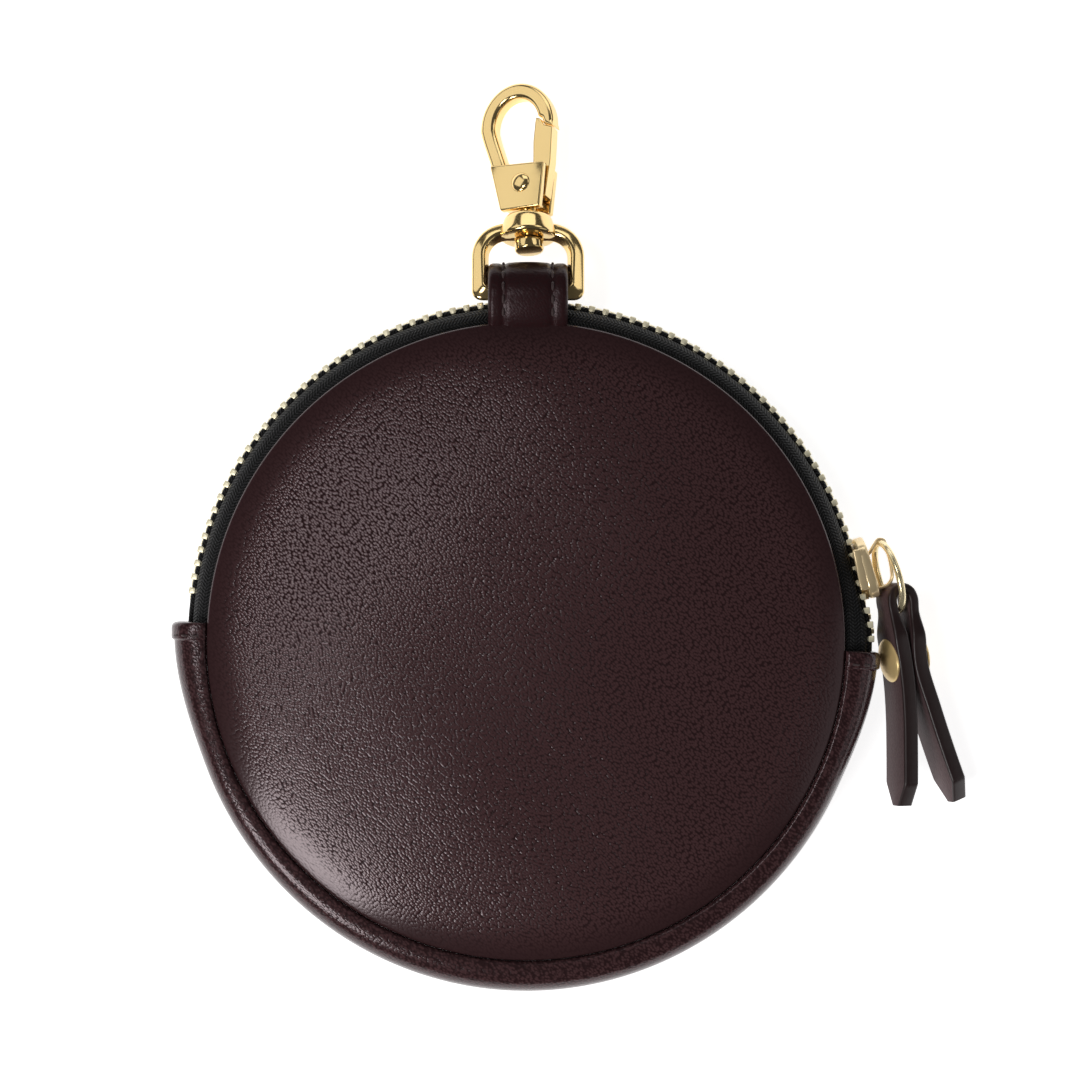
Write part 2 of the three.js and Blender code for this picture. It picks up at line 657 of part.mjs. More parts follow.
function hookBody() {
  const plates = [-1, 1].map((side) => {
    const [low, high] = [PLATE_INNER * side, PLATE_OUTER * side].sort((a, b) => a - b);
    return plate(outline(BASE_CORNERS), low, high, PLATE_BEVEL);
  });
  const between = PLATE_INNER + JOIN_OVERLAP;
  const spine = plate(outline(SPINE_CORNERS), -between, between);
  const floor = new THREE.BoxGeometry(FLOOR_WIDTH, FLOOR_HEIGHT, 2 * between);
  floor.translate(FLOOR_X, BASE_BOTTOM + FLOOR_LIFT + FLOOR_HEIGHT / 2, 0);
  const stem = [
    [0, STEM_HEAD_BOTTOM],
    [STEM_HEAD_RADIUS - STEM_HEAD_CHAMFER, STEM_HEAD_BOTTOM],
    [STEM_HEAD_RADIUS, STEM_HEAD_BOTTOM + STEM_HEAD_CHAMFER],
    [STEM_HEAD_RADIUS, STEM_HEAD_TOP],
    [STEM_RADIUS, STEM_HEAD_TOP],
    [STEM_RADIUS, BASE_BOTTOM + STEM_SEAT],
    [0, BASE_BOTTOM + STEM_SEAT],
  ].map(([radius, along]) => new THREE.Vector2(radius, along));
  const pin = new THREE.LatheGeometry(stem, 16);
  const arm = joinAndCut([hookArm()], [gateRoom()]);
  const reach = 2 * PLATE_OUTER;
  const hole = roundBar(GATE_HOLE, -reach, reach).translate(GATE_PIVOT.x, GATE_PIVOT.y, 0);
  return namedMesh('hook_body', joinAndCut([...plates, spine, floor, pin, arm], [hole]), GOLD);
}

// Gate: hub on the rivet, thumb edge down the right side, arm up to the nose
function hookGate() {
  const [lip, notch, heel] = NOSE_LINE;
  const shape = new THREE.Shape();
  shape.moveTo(lip[0] - GATE_LIP_GAP.x, lip[1] - GATE_LIP_GAP.y);
  shape.lineTo(notch[0] - GATE_NOTCH_GAP.x, notch[1] - GATE_NOTCH_GAP.y);
  shape.lineTo(heel[0] - GATE_HEEL_GAP.x, heel[1] - GATE_HEEL_GAP.y);
  for (const [x, y] of GATE_OUTER_EDGE) shape.lineTo(x, y);
  const [hubFrom, hubTo] = [radians(GATE_HUB_FROM), radians(GATE_HUB_TO)];
  shape.absarc(GATE_PIVOT.x, GATE_PIVOT.y, GATE_HUB, hubFrom, hubTo, true);
  for (const [x, y] of GATE_INNER_EDGE) shape.lineTo(x, y);
  const hole = new THREE.Path();
  hole.absarc(GATE_PIVOT.x, GATE_PIVOT.y, GATE_HOLE, 0, Math.PI * 2, false);
  shape.holes.push(hole);
  const gate = plate(shape, -GATE_HALF_THICKNESS, GATE_HALF_THICKNESS, GATE_BEVEL, 10);
  return namedMesh('hook_gate', gate, GOLD);
}

function gateRivet() {
  const seat = PLATE_OUTER + SEAT_GAP;
  const head = (side) => CAP_ROWS.map(({ radius, height }) => new THREE.Vector2(
    radius * GATE_RIVET_HEAD,
    side * (seat + height * GATE_RIVET_RISE),
  ));
  const shaft = [-seat, seat].map((height) => new THREE.Vector2(GATE_RIVET_SHAFT, height));
  const profile = [...head(-1), ...shaft, ...head(1).toReversed()];
  const body = new THREE.LatheGeometry(profile, 16).rotateX(Math.PI / 2);
  return namedMesh('gate_rivet', body.translate(GATE_PIVOT.x, GATE_PIVOT.y, 0), GOLD);
}

// The clip slopes down from its bar in the loop to the table, and the hook is turned on its stem
function clipGroup() {
  const clip = new THREE.Group();
  clip.position.set(CLIP_X, BAR_Y, BAR_Z);
  clip.rotation.x = radians(-CLIP_SLOPE);
  const stem = new THREE.Group();
  stem.position.y = COLLAR_AT;
  stem.rotation.z = radians(HOOK_LEAN);
  const hook = new THREE.Group();
  hook.rotation.y = radians(-HOOK_TWIST);
  hook.add(hookBody(), hookGate(), gateRivet());
  stem.add(hook);
  clip.add(clipRing(), stem);
  return clip;
}

const pouch = new THREE.Group();
pouch.name = 'round_zip_pouch';
pouch.add(frontPanel(), backPanel(), gusset());
pouch.add(zipTape('zip_tape_front', 1), zipTape('zip_tape_back', -1));
pouch.add(zipTeeth('zip_teeth_front', 1, 0), zipTeeth('zip_teeth_back', -1, 0.5));
pouch.add(slider(), pullRing(), strapGroup(), hangerLoop(), clipGroup());

export default pouch;
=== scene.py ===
"""Round leather zip pouch with a gold swivel clip, dressed for a studio picture from straight above.

Lengths in the classes are millimetres in the part's own frame, and meshes are made in metres.
"""

import logging
import math
from collections.abc import Mapping, Sequence
from dataclasses import dataclass, field
from enum import Enum

import bmesh
import bpy
import numpy as np
from mathutils import Matrix, Vector


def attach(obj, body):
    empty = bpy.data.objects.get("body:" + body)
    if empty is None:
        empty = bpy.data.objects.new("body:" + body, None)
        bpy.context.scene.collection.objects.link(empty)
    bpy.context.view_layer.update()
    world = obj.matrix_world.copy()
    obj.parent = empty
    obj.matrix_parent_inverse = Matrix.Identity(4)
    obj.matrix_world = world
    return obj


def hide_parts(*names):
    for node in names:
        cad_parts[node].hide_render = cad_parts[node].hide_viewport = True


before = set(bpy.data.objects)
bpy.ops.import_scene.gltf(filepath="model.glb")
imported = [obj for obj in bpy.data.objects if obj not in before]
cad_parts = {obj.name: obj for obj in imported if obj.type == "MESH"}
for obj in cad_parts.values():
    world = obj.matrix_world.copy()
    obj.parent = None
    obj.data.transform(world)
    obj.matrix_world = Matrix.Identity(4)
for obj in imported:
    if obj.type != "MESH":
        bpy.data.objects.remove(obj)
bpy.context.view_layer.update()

MM = 0.001
SHARP_EDGE = 35.0
LOG = logging.getLogger("round_zip_pouch")
FACING_OUT = Matrix(((0, 0, 1, 0), (1, 0, 0, 0), (0, 1, 0, 0), (0, 0, 0, 1)))
Colour = tuple[float, float, float, float]
Rows = Sequence[Sequence[float]]


class Body(Enum):
    """Rigid bodies that the pieces ride on."""

    POUCH = "pouch"
    CLIP_RING = "clip_ring"
    HOOK = "hook"
    GATE = "gate"


class Slot(Enum):
    """Material slots of the record."""

    PANEL_LEATHER = "panel_leather"
    STRAP_LEATHER = "strap_leather"
    ZIP_TAPE = "zip_tape"
    ZIP_TEETH = "zip_teeth"
    GOLD = "gold_hardware"


class Side(Enum):
    """The two sides of the pouch, as the sign of the height above its middle."""

    FRONT = 1
    BACK = -1


class Socket:
    """An output of a shader node that takes part in Python arithmetic."""

    def __init__(self, shader: "Shader", output: bpy.types.NodeSocket) -> None:
        """Keeps the shader and the output that is wrapped."""
        self.shader = shader
        self.output = output

    def __add__(self, other: "Value") -> "Socket":
        """Adds a value."""
        return self.shader.math("ADD", self, other)

    __radd__ = __add__

    def __sub__(self, other: "Value") -> "Socket":
        """Takes a value away."""
        return self.shader.math("SUBTRACT", self, other)

    def __rsub__(self, other: "Value") -> "Socket":
        """Is taken away from a value."""
        return self.shader.math("SUBTRACT", other, self)

    def __mul__(self, other: "Value") -> "Socket":
        """Multiplies by a value."""
        return self.shader.math("MULTIPLY", self, other)

    __rmul__ = __mul__


Value = Socket | float | int | Sequence[float]


class Shader:
    """Node tree of one material."""

    def __init__(self, name: str) -> None:
        """Starts an empty node tree.

        Args:
            name: Name of the material.
        """
        self.material = bpy.data.materials.new(name)
        self.material.use_nodes = True
        self.tree = self.material.node_tree
        self.tree.nodes.clear()

    def node(
        self,
        kind: str,
        settings: Mapping[str, object],
        values: Mapping[str | int, Value],
        output: str | int = 0,
    ) -> Socket:
        """Adds a node of any kind.

        Args:
            kind: Type name of the node.
            settings: Properties, which are set first.
            values: Values or links of its input sockets.
            output: Name or number of the output that is returned.

        Returns:
            The chosen output.
        """
        made = self.tree.nodes.new(kind)
        for name, setting in settings.items():
            setattr(made, name, setting)
        for key, value in values.items():
            if isinstance(value, Socket):
                self.tree.links.new(value.output, made.inputs[key])
            else:
                made.inputs[key].default_value = value
        return Socket(self, made.outputs[output])

    def math(self, operation: str, first: Value, second: Value = 0.0) -> Socket:
        """Adds a Math node for one operation on two values."""
        return self.node("ShaderNodeMath", {"operation": operation}, {0: first, 1: second})

    def vector(self, operation: str, first: Value, second: Value) -> Socket:
        """Adds a Vector Math node for one operation on two vectors."""
        return self.node("ShaderNodeVectorMath", {"operation": operation}, {0: first, 1: second})

    def mix(self, share: Value, first: Value, second: Value) -> Socket:
        """Mixes two colours by a share."""
        return self.node("ShaderNodeMix", {"data_type": "RGBA"}, {0: share, 6: first, 7: second}, 2)

    def ramp(self, value: Socket, low: float, high: float) -> Socket:
        """Smooth step of a value from 0 at low to 1 at high."""
        settings = {"interpolation_type": "SMOOTHSTEP"}
        return self.node("ShaderNodeMapRange", settings, {"Value": value, "From Min": low, "From Max": high})

    def millimetres(self) -> Socket:
        """Place on the object in millimetres."""
        place = self.node("ShaderNodeTexCoord", {}, {}, "Object")
        return self.vector("MULTIPLY", place, (1 / MM, 1 / MM, 1 / MM))

    def axis(self, vector: Socket, name: str) -> Socket:
        """One of the X, Y and Z values of a vector."""
        return self.node("ShaderNodeSeparateXYZ", {}, {0: vector}, name)

    def noise(self, vector: Socket, size: float, detail: float = 2.0) -> Socket:
        """Noise from 0 to 1 whose lumps are about the given size in millimetres."""
        values = {"Vector": vector, "Scale": 1 / size, "Detail": detail, "Roughness": 0.55}
        return self.node("ShaderNodeTexNoise", {}, values, "Fac")

    def bump(self, height: Socket, depth: float) -> Socket:
        """Normal of a surface with a relief from 0 to 1 whose depth is in millimetres."""
        return self.node("ShaderNodeBump", {}, {"Height": height, "Distance": depth * MM, "Strength": 1.0})

    def surface(self, constants: Mapping[str, object], varying: Mapping[str, Socket]) -> bpy.types.Material:
        """Ends the tree in a Principled surface.

        Args:
            constants: Values that are the same all over.
            varying: Links for the sockets that change over the surface.

        Returns:
            The finished material.
        """
        shading = self.node("ShaderNodeBsdfPrincipled", {}, {**constants, **varying})
        end = self.tree.nodes.new("ShaderNodeOutputMaterial")
        self.tree.links.new(shading.output, end.inputs["Surface"])
        return self.material


@dataclass(frozen=True)
class LeatherFinish:
    """Satin dyed leather with a fine pebble grain."""

    name: str
    colour: Colour = (0.0900, 0.0420, 0.0443, 1.0)
    # Painted shade colour for the grain's creases and the smooth edge band; random patches also darken
    # towards it
    painted_shade_and_patch_colour: Colour = (0.0300, 0.0125, 0.0136, 1.0)
    tint: Colour = (1.0, 0.86, 0.89, 1.0)
    shine: float = 0.5
    pebble: float = 0.33
    stretch: float = 1.65
    grain_turn: float = -44.0
    depth: float = 0.060
    roughness: float = 0.19
    flat: bool = False
    smooth_from: float = 1000.0
    smooth_to: float = 1001.0
    smoothness: float = 0.85
    # Share of painted shade on the smooth band by the seam, where the edge rolls down
    smooth_edge_shade: float = 0.8
    stir_scale: float = 1.3
    stir: float = 0.06
    scatter: float = 0.9
    pebble_edges: tuple[float, float] = (0.25, 0.7)
    patch_size: float = 9.0
    patch_tone: float = 0.15
    patch_gloss: float = 0.03
    refraction: float = 1.46

    def material(self) -> bpy.types.Material:
        """Builds the material.

        Returns:
            Leather whose grain fades out between two radii from the pouch's middle, with painted shade in the
            grain's creases and on the smooth edge band.
        """
        shader = Shader(self.name)
        place = shader.millimetres()
        swirl = {"Vector": place, "Scale": self.stir_scale, "Detail": 1.0}
        stir = shader.node("ShaderNodeTexNoise", {}, swirl, "Color")
        stirred = shader.vector("ADD", place, shader.vector("MULTIPLY", stir, (self.stir,) * 3))
        turn = (0.0, 0.0, math.radians(self.grain_turn))
        drawn = {"Vector": stirred, "Rotation": turn, "Scale": (self.stretch, 1.0, 1.0)}
        lying = shader.node("ShaderNodeMapping", {"vector_type": "TEXTURE"}, drawn, "Vector")
        values = {"Vector": lying, "Scale": 1 / self.pebble, "Randomness": self.scatter}
        kind = {"feature": "F1", "voronoi_dimensions": "2D" if self.flat else "3D"}
        swells = shader.node("ShaderNodeTexVoronoi", kind, values, "Distance")
        pebbles = 1 - shader.ramp(swells, *self.pebble_edges)
        flat = shader.vector("MULTIPLY", place, (1.0, 1.0, 0.0))
        radius = shader.node("ShaderNodeVectorMath", {"operation": "LENGTH"}, {0: flat}, "Value")
        grain = 1 - shader.ramp(radius, self.smooth_from, self.smooth_to) * self.smoothness
        patches = shader.noise(place, self.patch_size, 3.0)
        # Painted shade: the creases between pebbles and most of the smooth edge band are painted in the
        # darker shade colour
        crease_and_edge_shade = (1 - pebbles) * grain + (1 - grain) * self.smooth_edge_shade
        tone = shader.mix(crease_and_edge_shade, self.colour, self.painted_shade_and_patch_colour)
        shade = shader.mix(patches * self.patch_tone, tone, self.painted_shade_and_patch_colour)
        relief = (1 - swells * swells) * grain
        rough = self.roughness + (patches - 0.5) * self.patch_gloss
        constants = {"Specular IOR Level": self.shine, "IOR": self.refraction, "Specular Tint": self.tint}
        varying = {"Base Color": shade, "Roughness": rough, "Normal": shader.bump(relief, self.depth)}
        return shader.surface(constants, varying)


@dataclass(frozen=True)
class EdgePaint:
    """Painted cut edge of a leather strap, smoother than its faces."""

    name: str
    colour: Colour = (0.022, 0.010, 0.010, 1.0)
    thin_colour: Colour = (0.035, 0.018, 0.018, 1.0)
    roughness: float = 0.38
    wave_size: float = 1.6
    grit_size: float = 0.2
    grit_gloss: float = 0.15
    depth: float = 0.03

    def material(self) -> bpy.types.Material:
        """Builds the material.

        Returns:
            Paint with slow waves from the brush.
        """
        shader = Shader(self.name)
        place = shader.millimetres()
        waves = shader.noise(place, self.wave_size)
        grit = shader.noise(place, self.grit_size)
        colour = shader.mix(waves * 0.5, self.colour, self.thin_colour)
        rough = self.roughness + (grit - 0.5) * self.grit_gloss
        normal = shader.bump(waves * 0.7 + grit * 0.3, self.depth)
        varying = {"Base Color": colour, "Roughness": rough, "Normal": normal}
        return shader.surface({"Specular IOR Level": 0.5}, varying)


@dataclass(frozen=True)
class TapeFinish:
    """Black woven zip tape with a fine herringbone round the pouch."""

    name: str
    radius: float = 50.6
    rib: float = 0.55
    column: float = 0.9
    slant: float = 0.9
    thread_gap: float = 0.42
    fuzz_size: float = 0.12
    # Near-black colour painted into the weave's low places as painted shade
    gap_shade_colour: Colour = (0.0008, 0.0008, 0.0009, 1.0)
    thread_colour: Colour = (0.027, 0.027, 0.0285, 1.0)
    lit_weave: tuple[float, float] = (0.38, 0.85)
    roughness: float = 0.7
    rib_gloss: float = 0.3
    depth: float = 0.22
    shine: float = 0.25

    def material(self) -> bpy.types.Material:
        """Builds the material.

        Returns:
            Weave that follows the zip's curve, with a dull thread sheen.
        """
        shader = Shader(self.name)
        place = shader.millimetres()
        x, y = shader.axis(place, "X"), shader.axis(place, "Y")
        along = shader.math("ARCTAN2", y, x) * self.radius
        flat = shader.vector("MULTIPLY", place, (1.0, 1.0, 0.0))
        across = shader.node("ShaderNodeVectorMath", {"operation": "LENGTH"}, {0: flat}, "Value")
        chevron = shader.math("PINGPONG", across, self.column) * self.slant
        ribs = shader.math("SINE", (along + chevron) * (2 * math.pi / self.rib)) * 0.5 + 0.5
        threads = shader.math("SINE", across * (2 * math.pi / self.thread_gap)) * 0.5 + 0.5
        fuzz = shader.noise(place, self.fuzz_size)
        weave = ribs * 0.4 + threads * 0.2 + fuzz * 0.4
        # Painted shade: the weave's low places take the near-black gap shade colour and its high, lit places
        # the thread colour
        lit = shader.ramp(weave, *self.lit_weave)
        colour = shader.mix(lit, self.gap_shade_colour, self.thread_colour)
        rough = self.roughness - ribs * self.rib_gloss
        normal = shader.bump(weave, self.depth)
        varying = {"Base Color": colour, "Roughness": rough, "Normal": normal}
        return shader.surface({"Specular IOR Level": self.shine}, varying)


@dataclass(frozen=True)
class GoldFinish:
    """Polished plated metal."""

    name: str
    colour: Colour = (0.92, 0.68, 0.31, 1.0)
    dip_colour: Colour = (0.82, 0.54, 0.20, 1.0)
    roughness: float = 0.13
    metallic: float = 0.95
    dip_size: float = 4.0
    dip_tone: float = 0.2
    mark_size: float = 0.5
    mark_stretch: float = 6.0
    mark_gloss: float = 0.07
    depth: float = 0.03

    def material(self) -> bpy.types.Material:
        """Builds the material.

        Returns:
            Metal with faint polishing marks and slow dips in the casting.
        """
        shader = Shader(self.name)
        place = shader.millimetres()
        dips = shader.noise(place, self.dip_size, 1.0)
        brushed = shader.vector("MULTIPLY", place, (1.0, self.mark_stretch, 1.0))
        marks = shader.noise(brushed, self.mark_size)
        colour = shader.mix(dips * self.dip_tone, self.colour, self.dip_colour)
        rough = self.roughness + (marks - 0.5) * self.mark_gloss
        normal = shader.bump(dips * 0.8 + marks * 0.05, self.depth)
        varying = {"Base Color": colour, "Roughness": rough, "Normal": normal}
        return shader.surface({"Metallic": self.metallic}, varying)


@dataclass(frozen=True)
class ThreadFinish:
    """Twisted sewing thread in the leather's own colour."""

    name: str
    colour: Colour = (0.10, 0.055, 0.055, 1.0)
    # Darker colour painted into the twist's grooves as painted shade
    groove_shade_colour: Colour = (0.025, 0.012, 0.012, 1.0)
    twist: float = 0.22
    lean: float = 0.6
    fuzz_size: float = 0.08
    depth: float = 0.04
    sheen: float = 0.2

    def material(self) -> bpy.types.Material:
        """Builds the material.

        Returns:
            Thread with its twist in the relief, and painted shade in the twist's grooves.
        """
        shader = Shader(self.name)
        place = shader.millimetres()
        along = shader.axis(place, "X") + shader.axis(place, "Y") + shader.axis(place, "Z") * self.lean
        twist = shader.math("SINE", along * (2 * math.pi / self.twist)) * 0.5 + 0.5
        fuzz = shader.noise(place, self.fuzz_size)
        # Painted shade: the twist's grooves are painted darker than its crowns
        colour = shader.mix(twist, self.groove_shade_colour, self.colour)
        rough = 0.5 + fuzz * 0.2
        normal = shader.bump(twist * 0.7 + fuzz * 0.3, self.depth)
        varying = {"Base Color": colour, "Roughness": rough, "Normal": normal}
        return shader.surface({"Sheen Weight": self.sheen}, varying)


@dataclass(frozen=True)
class FloorFinish:
    """Plain white table that glows a little, so that shadows on it stay soft."""

    name: str
    glow: float = 0.88
    colour: Colour = (0.90, 0.90, 0.90, 1.0)
    tooth_colour: Colour = (0.86, 0.86, 0.86, 1.0)
    tooth_size: float = 1.5

    def material(self) -> bpy.types.Material:
        """Builds the material.

        Returns:
            White with a trace of paper tooth.
        """
        shader = Shader(self.name)
        tooth = shader.noise(shader.millimetres(), self.tooth_size)
        colour = shader.mix(tooth * 0.1, self.colour, self.tooth_colour)
        constants = {
            "Roughness": 0.9,
            "Specular IOR Level": 0.1,
            "Emission Color": (1.0, 1.0, 1.0, 1.0),
            "Emission Strength": self.glow,
        }
        return shader.surface(constants, {"Base Color": colour})


def smooth_rows(rows: Rows, step: float) -> np.ndarray:
    """Reads a table of stations as a smooth curve.

    Args:
        rows: Stations, one row each, whose first two columns give its place.
        step: Distance between the rows that are returned.

    Returns:
        Rows along the curve, about a step apart.
    """
    table = np.asarray(rows, float)
    gaps = np.linalg.norm(np.diff(table[:, :2], axis=0), axis=1)
    places = np.concatenate([[0.0], np.cumsum(gaps)])
    slopes = np.diff(table, axis=0) / gaps[:, None]
    before, after = gaps[:-1, None], gaps[1:, None]
    inner = (slopes[:-1] * after + slopes[1:] * before) / (before + after)
    tangents = np.vstack([slopes[:1], inner, slopes[-1:]])
    samples = np.linspace(0.0, places[-1], math.ceil(places[-1] / step) + 1)
    span = np.clip(np.searchsorted(places, samples, side="right") - 1, 0, len(gaps) - 1)
    gap = gaps[span][:, None]
    t = (samples - places[span])[:, None] / gap
    start = table[span] * (1 + 2 * t) * (1 - t) ** 2 + tangents[span] * gap * t * (1 - t) ** 2
    end = table[span + 1] * t**2 * (3 - 2 * t) + tangents[span + 1] * gap * t**2 * (t - 1)
    return start + end


def rounded_section(width: float, height: float, corner: float, steps: int = 4) -> np.ndarray:
    """Outline of a rectangle with round corners.

    Args:
        width: Size along the first axis.
        height: Size along the second axis.
        corner: Radius of the corners, made smaller where it doesn't fit.
        steps: Edges in each corner.

    Returns:
        Points counter-clockwise from the middle of the right side's upper end.
    """
    radius = min(corner, 0.49 * width, 0.49 * height)
    turns = np.radians(np.linspace(0.0, 90.0, steps + 1))
    points = []
    for quarter, (right, upper) in enumerate([(1, 1), (-1, 1), (-1, -1), (1, -1)]):
        angle = turns + quarter * math.pi / 2
        middle = np.array([right * (width / 2 - radius), upper * (height / 2 - radius)])
        points.append(middle + radius * np.stack([np.cos(angle), np.sin(angle)], axis=1))
    return np.vstack(points)


def rounded_polygon(corners: Rows, radius: float, steps: int = 4) -> np.ndarray:
    """Polygon whose corners are rounded.

    Args:
        corners: Corner points in order.
        radius: Distance from a corner at which its rounding starts.
        steps: Edges in each corner.

    Returns:
        Points of the outline in the same order.
    """
    table = np.asarray(corners, float)
    points = []
    for index, corner in enumerate(table):
        back, ahead = table[index - 1] - corner, table[(index + 1) % len(table)] - corner
        reach = min(radius, 0.45 * np.linalg.norm(back), 0.45 * np.linalg.norm(ahead))
        first = corner + back / np.linalg.norm(back) * reach
        last = corner + ahead / np.linalg.norm(ahead) * reach
        for t in np.linspace(0.0, 1.0, steps + 1):
            points.append(first * (1 - t) ** 2 + corner * 2 * t * (1 - t) + last * t**2)
    return np.array(points)


def arc(centre: Sequence[float], radius: float, start: float, end: float, steps: int) -> np.ndarray:
    """Points of an arc in a plane.

    Args:
        centre: Middle of the arc.
        radius: Its radius.
        start: First angle in degrees.
        end: Last angle in degrees.
        steps: Number of edges.

    Returns:
        The arc's points.
    """
    angles = np.radians(np.linspace(start, end, steps + 1))
    return np.asarray(centre, float) + radius * np.stack([np.cos(angles), np.sin(angles)], axis=1)


def line(start: Sequence[float], end: Sequence[float], steps: int) -> np.ndarray:
    """Points of a straight line, both ends included."""
    return np.linspace(np.asarray(start, float), np.asarray(end, float), steps + 1)


def smooth_step(value: np.ndarray | float, low: float, high: float) -> np.ndarray | float:
    """Smooth step of a value from 0 at low to 1 at high."""
    share = np.clip((value - low) / (high - low), 0.0, 1.0)
    return share * share * (3 - 2 * share)


class Form:
    """Closed shells collected in millimetres before they become one mesh."""

    def __init__(self) -> None:
        """Starts with no shells."""
        self.points: list[np.ndarray] = []
        self.faces: list[tuple[int, ...]] = []
        self.marks: list[int] = []
        self.count = 0

    def add(self, points: np.ndarray, faces: Sequence[Sequence[int]], marks: Sequence[int] | int = 0) -> None:
        """Adds points and faces.

        Args:
            points: Points of the shell.
            faces: Faces as numbers of those points.
            marks: Material number of the faces, one for all or one each.
        """
        self.points.append(np.asarray(points, float))
        self.faces.extend(tuple(int(corner) + self.count for corner in face) for face in faces)
        self.marks.extend([marks] * len(faces) if isinstance(marks, int) else marks)
        self.count += len(points)

    def loft(
        self,
        rings: np.ndarray,
        closed: bool = False,
        caps: bool = True,
        marks: Sequence[int] | None = None,
        cap_mark: int = 0,
    ) -> None:
        """Adds a skin through rings of points.

        Args:
            rings: Rings in order, each with as many points.
            closed: Whether the last ring joins the first.
            caps: Whether an open skin gets a face at both ends.
            marks: Material number for each edge of a ring.
            cap_mark: Material number of the end faces.
        """
        stations, around = rings.shape[:2]
        index = np.arange(stations * around).reshape(stations, around)
        rows = np.vstack([index, index[:1]]) if closed else index
        turned = np.roll(rows, -1, axis=1)
        faces = np.stack([rows[:-1], turned[:-1], turned[1:], rows[1:]], axis=-1).reshape(-1, 4).tolist()
        numbers = list(marks or [0] * around) * (len(rows) - 1)
        if caps and not closed:
            faces += [index[0][::-1].tolist(), index[-1].tolist()]
            numbers += [cap_mark, cap_mark]
        self.add(rings.reshape(-1, 3), faces, numbers)

    def lathe(self, profile: Rows, sides: int) -> None:
        """Adds a shell turned about Z.

        Args:
            profile: Radius and height of each row. It starts and ends on the axis, or else closes on itself.
            sides: Number of sides.
        """
        rows = np.asarray(profile, float)
        poled = rows[0, 0] < 1e-9
        body = rows[1:-1] if poled else rows
        angles = np.linspace(0.0, 2 * math.pi, sides, endpoint=False)
        rings = np.stack(
            [np.outer(body[:, 0], np.cos(angles)), np.outer(body[:, 0], np.sin(angles)),
             np.repeat(body[:, 1:2], sides, axis=1)],
            axis=-1,
        )
        first = self.count
        self.loft(rings, closed=not poled, caps=False)
        if poled:
            last = first + (len(body) - 1) * sides
            for ring, height in ((first, rows[0, 1]), (last, rows[-1, 1])):
                near = ring - self.count
                fan = [(0, near + side, near + (side + 1) % sides) for side in range(sides)]
                self.add(np.array([[0.0, 0.0, height]]), fan)

    def sweep(
        self,
        centres: np.ndarray,
        sides: np.ndarray,
        ups: np.ndarray,
        sizes: np.ndarray,
        corner: float,
        closed: bool = False,
        marks: Sequence[int] | None = None,
        steps: int = 4,
    ) -> None:
        """Adds a bar of rounded rectangles along a path.

        Args:
            centres: Middle of each section.
            sides: Direction of each section's width.
            ups: Direction of each section's height.
            sizes: Width and height of each section.
            corner: Radius of the section's corners.
            closed: Whether the path joins up.
            marks: Material number for each edge of a section.
            steps: Edges in each corner.
        """
        rings = []
        for centre, side, up, (width, height) in zip(centres, sides, ups, sizes):
            section = rounded_section(width, height, corner, steps)
            rings.append(centre + section[:, :1] * side + section[:, 1:] * up)
        self.loft(np.array(rings), closed=closed, marks=marks, cap_mark=max(marks or [0]))

    def between(
        self,
        inner: np.ndarray,
        outer: np.ndarray,
        half: float,
        corner: float,
        closed: bool = False,
        dish: float = 0.0,
    ) -> None:
        """Adds a flat bar between two rails that lie in the XY plane.

        Args:
            inner: Points of one rail.
            outer: Points of the other rail, as many.
            half: Half the thickness along Z.
            corner: Radius of the bar's edges.
            closed: Whether the rails join up.
            dish: Angle in degrees by which the bar's face leans outward.
        """
        middle = np.column_stack([(inner + outer) / 2, np.zeros(len(inner))])
        across = np.column_stack([outer - inner, np.zeros(len(inner))])
        widths = np.linalg.norm(across, axis=1)
        ups = np.tile([0.0, 0.0, 1.0], (len(inner), 1))
        sizes = np.column_stack([widths, np.full(len(inner), 2 * half)])
        across /= widths[:, None]
        cosine, sine = math.cos(math.radians(dish)), math.sin(math.radians(dish))
        self.sweep(middle, across * cosine - ups * sine, ups * cosine + across * sine, sizes, corner, closed)

    def plate(self, outline: np.ndarray, low: float, high: float, corner: float, steps: int = 3) -> None:
        """Adds a plate with rounded rims.

        Args:
            outline: Outline in the XY plane, counter-clockwise.
            low: Height of its lower face.
            high: Height of its upper face.
            corner: Radius of the rims.
            steps: Edges in each rim.
        """
        ahead = np.roll(outline, -1, axis=0) - outline
        ahead /= np.linalg.norm(ahead, axis=1)[:, None]
        behind = np.roll(ahead, 1, axis=0)
        inward = np.stack([-(ahead + behind)[:, 1], (ahead + behind)[:, 0]], axis=1)
        length = np.linalg.norm(inward, axis=1)
        inward = inward / length[:, None] * np.clip(2 / length, 1.0, 2.0)[:, None]
        rings = []
        turns = np.radians(np.linspace(0.0, 90.0, steps + 1))
        lower = [(corner * (1 - math.sin(turn)), low + corner * (1 - math.cos(turn))) for turn in turns]
        upper = [(inset, low + high - height) for inset, height in reversed(lower)]
        for inset, height in lower + upper:
            rings.append(np.column_stack([outline + inward * inset, np.full(len(outline), height)]))
        self.loft(np.array(rings))

    def place(self, matrix: Matrix) -> "Form":
        """Turns and moves all points.

        Args:
            matrix: Placing in millimetres.

        Returns:
            The form itself.
        """
        turn = np.array(matrix.to_3x3())
        shift = np.array(matrix.translation)
        self.points = [points @ turn.T + shift for points in self.points]
        return self

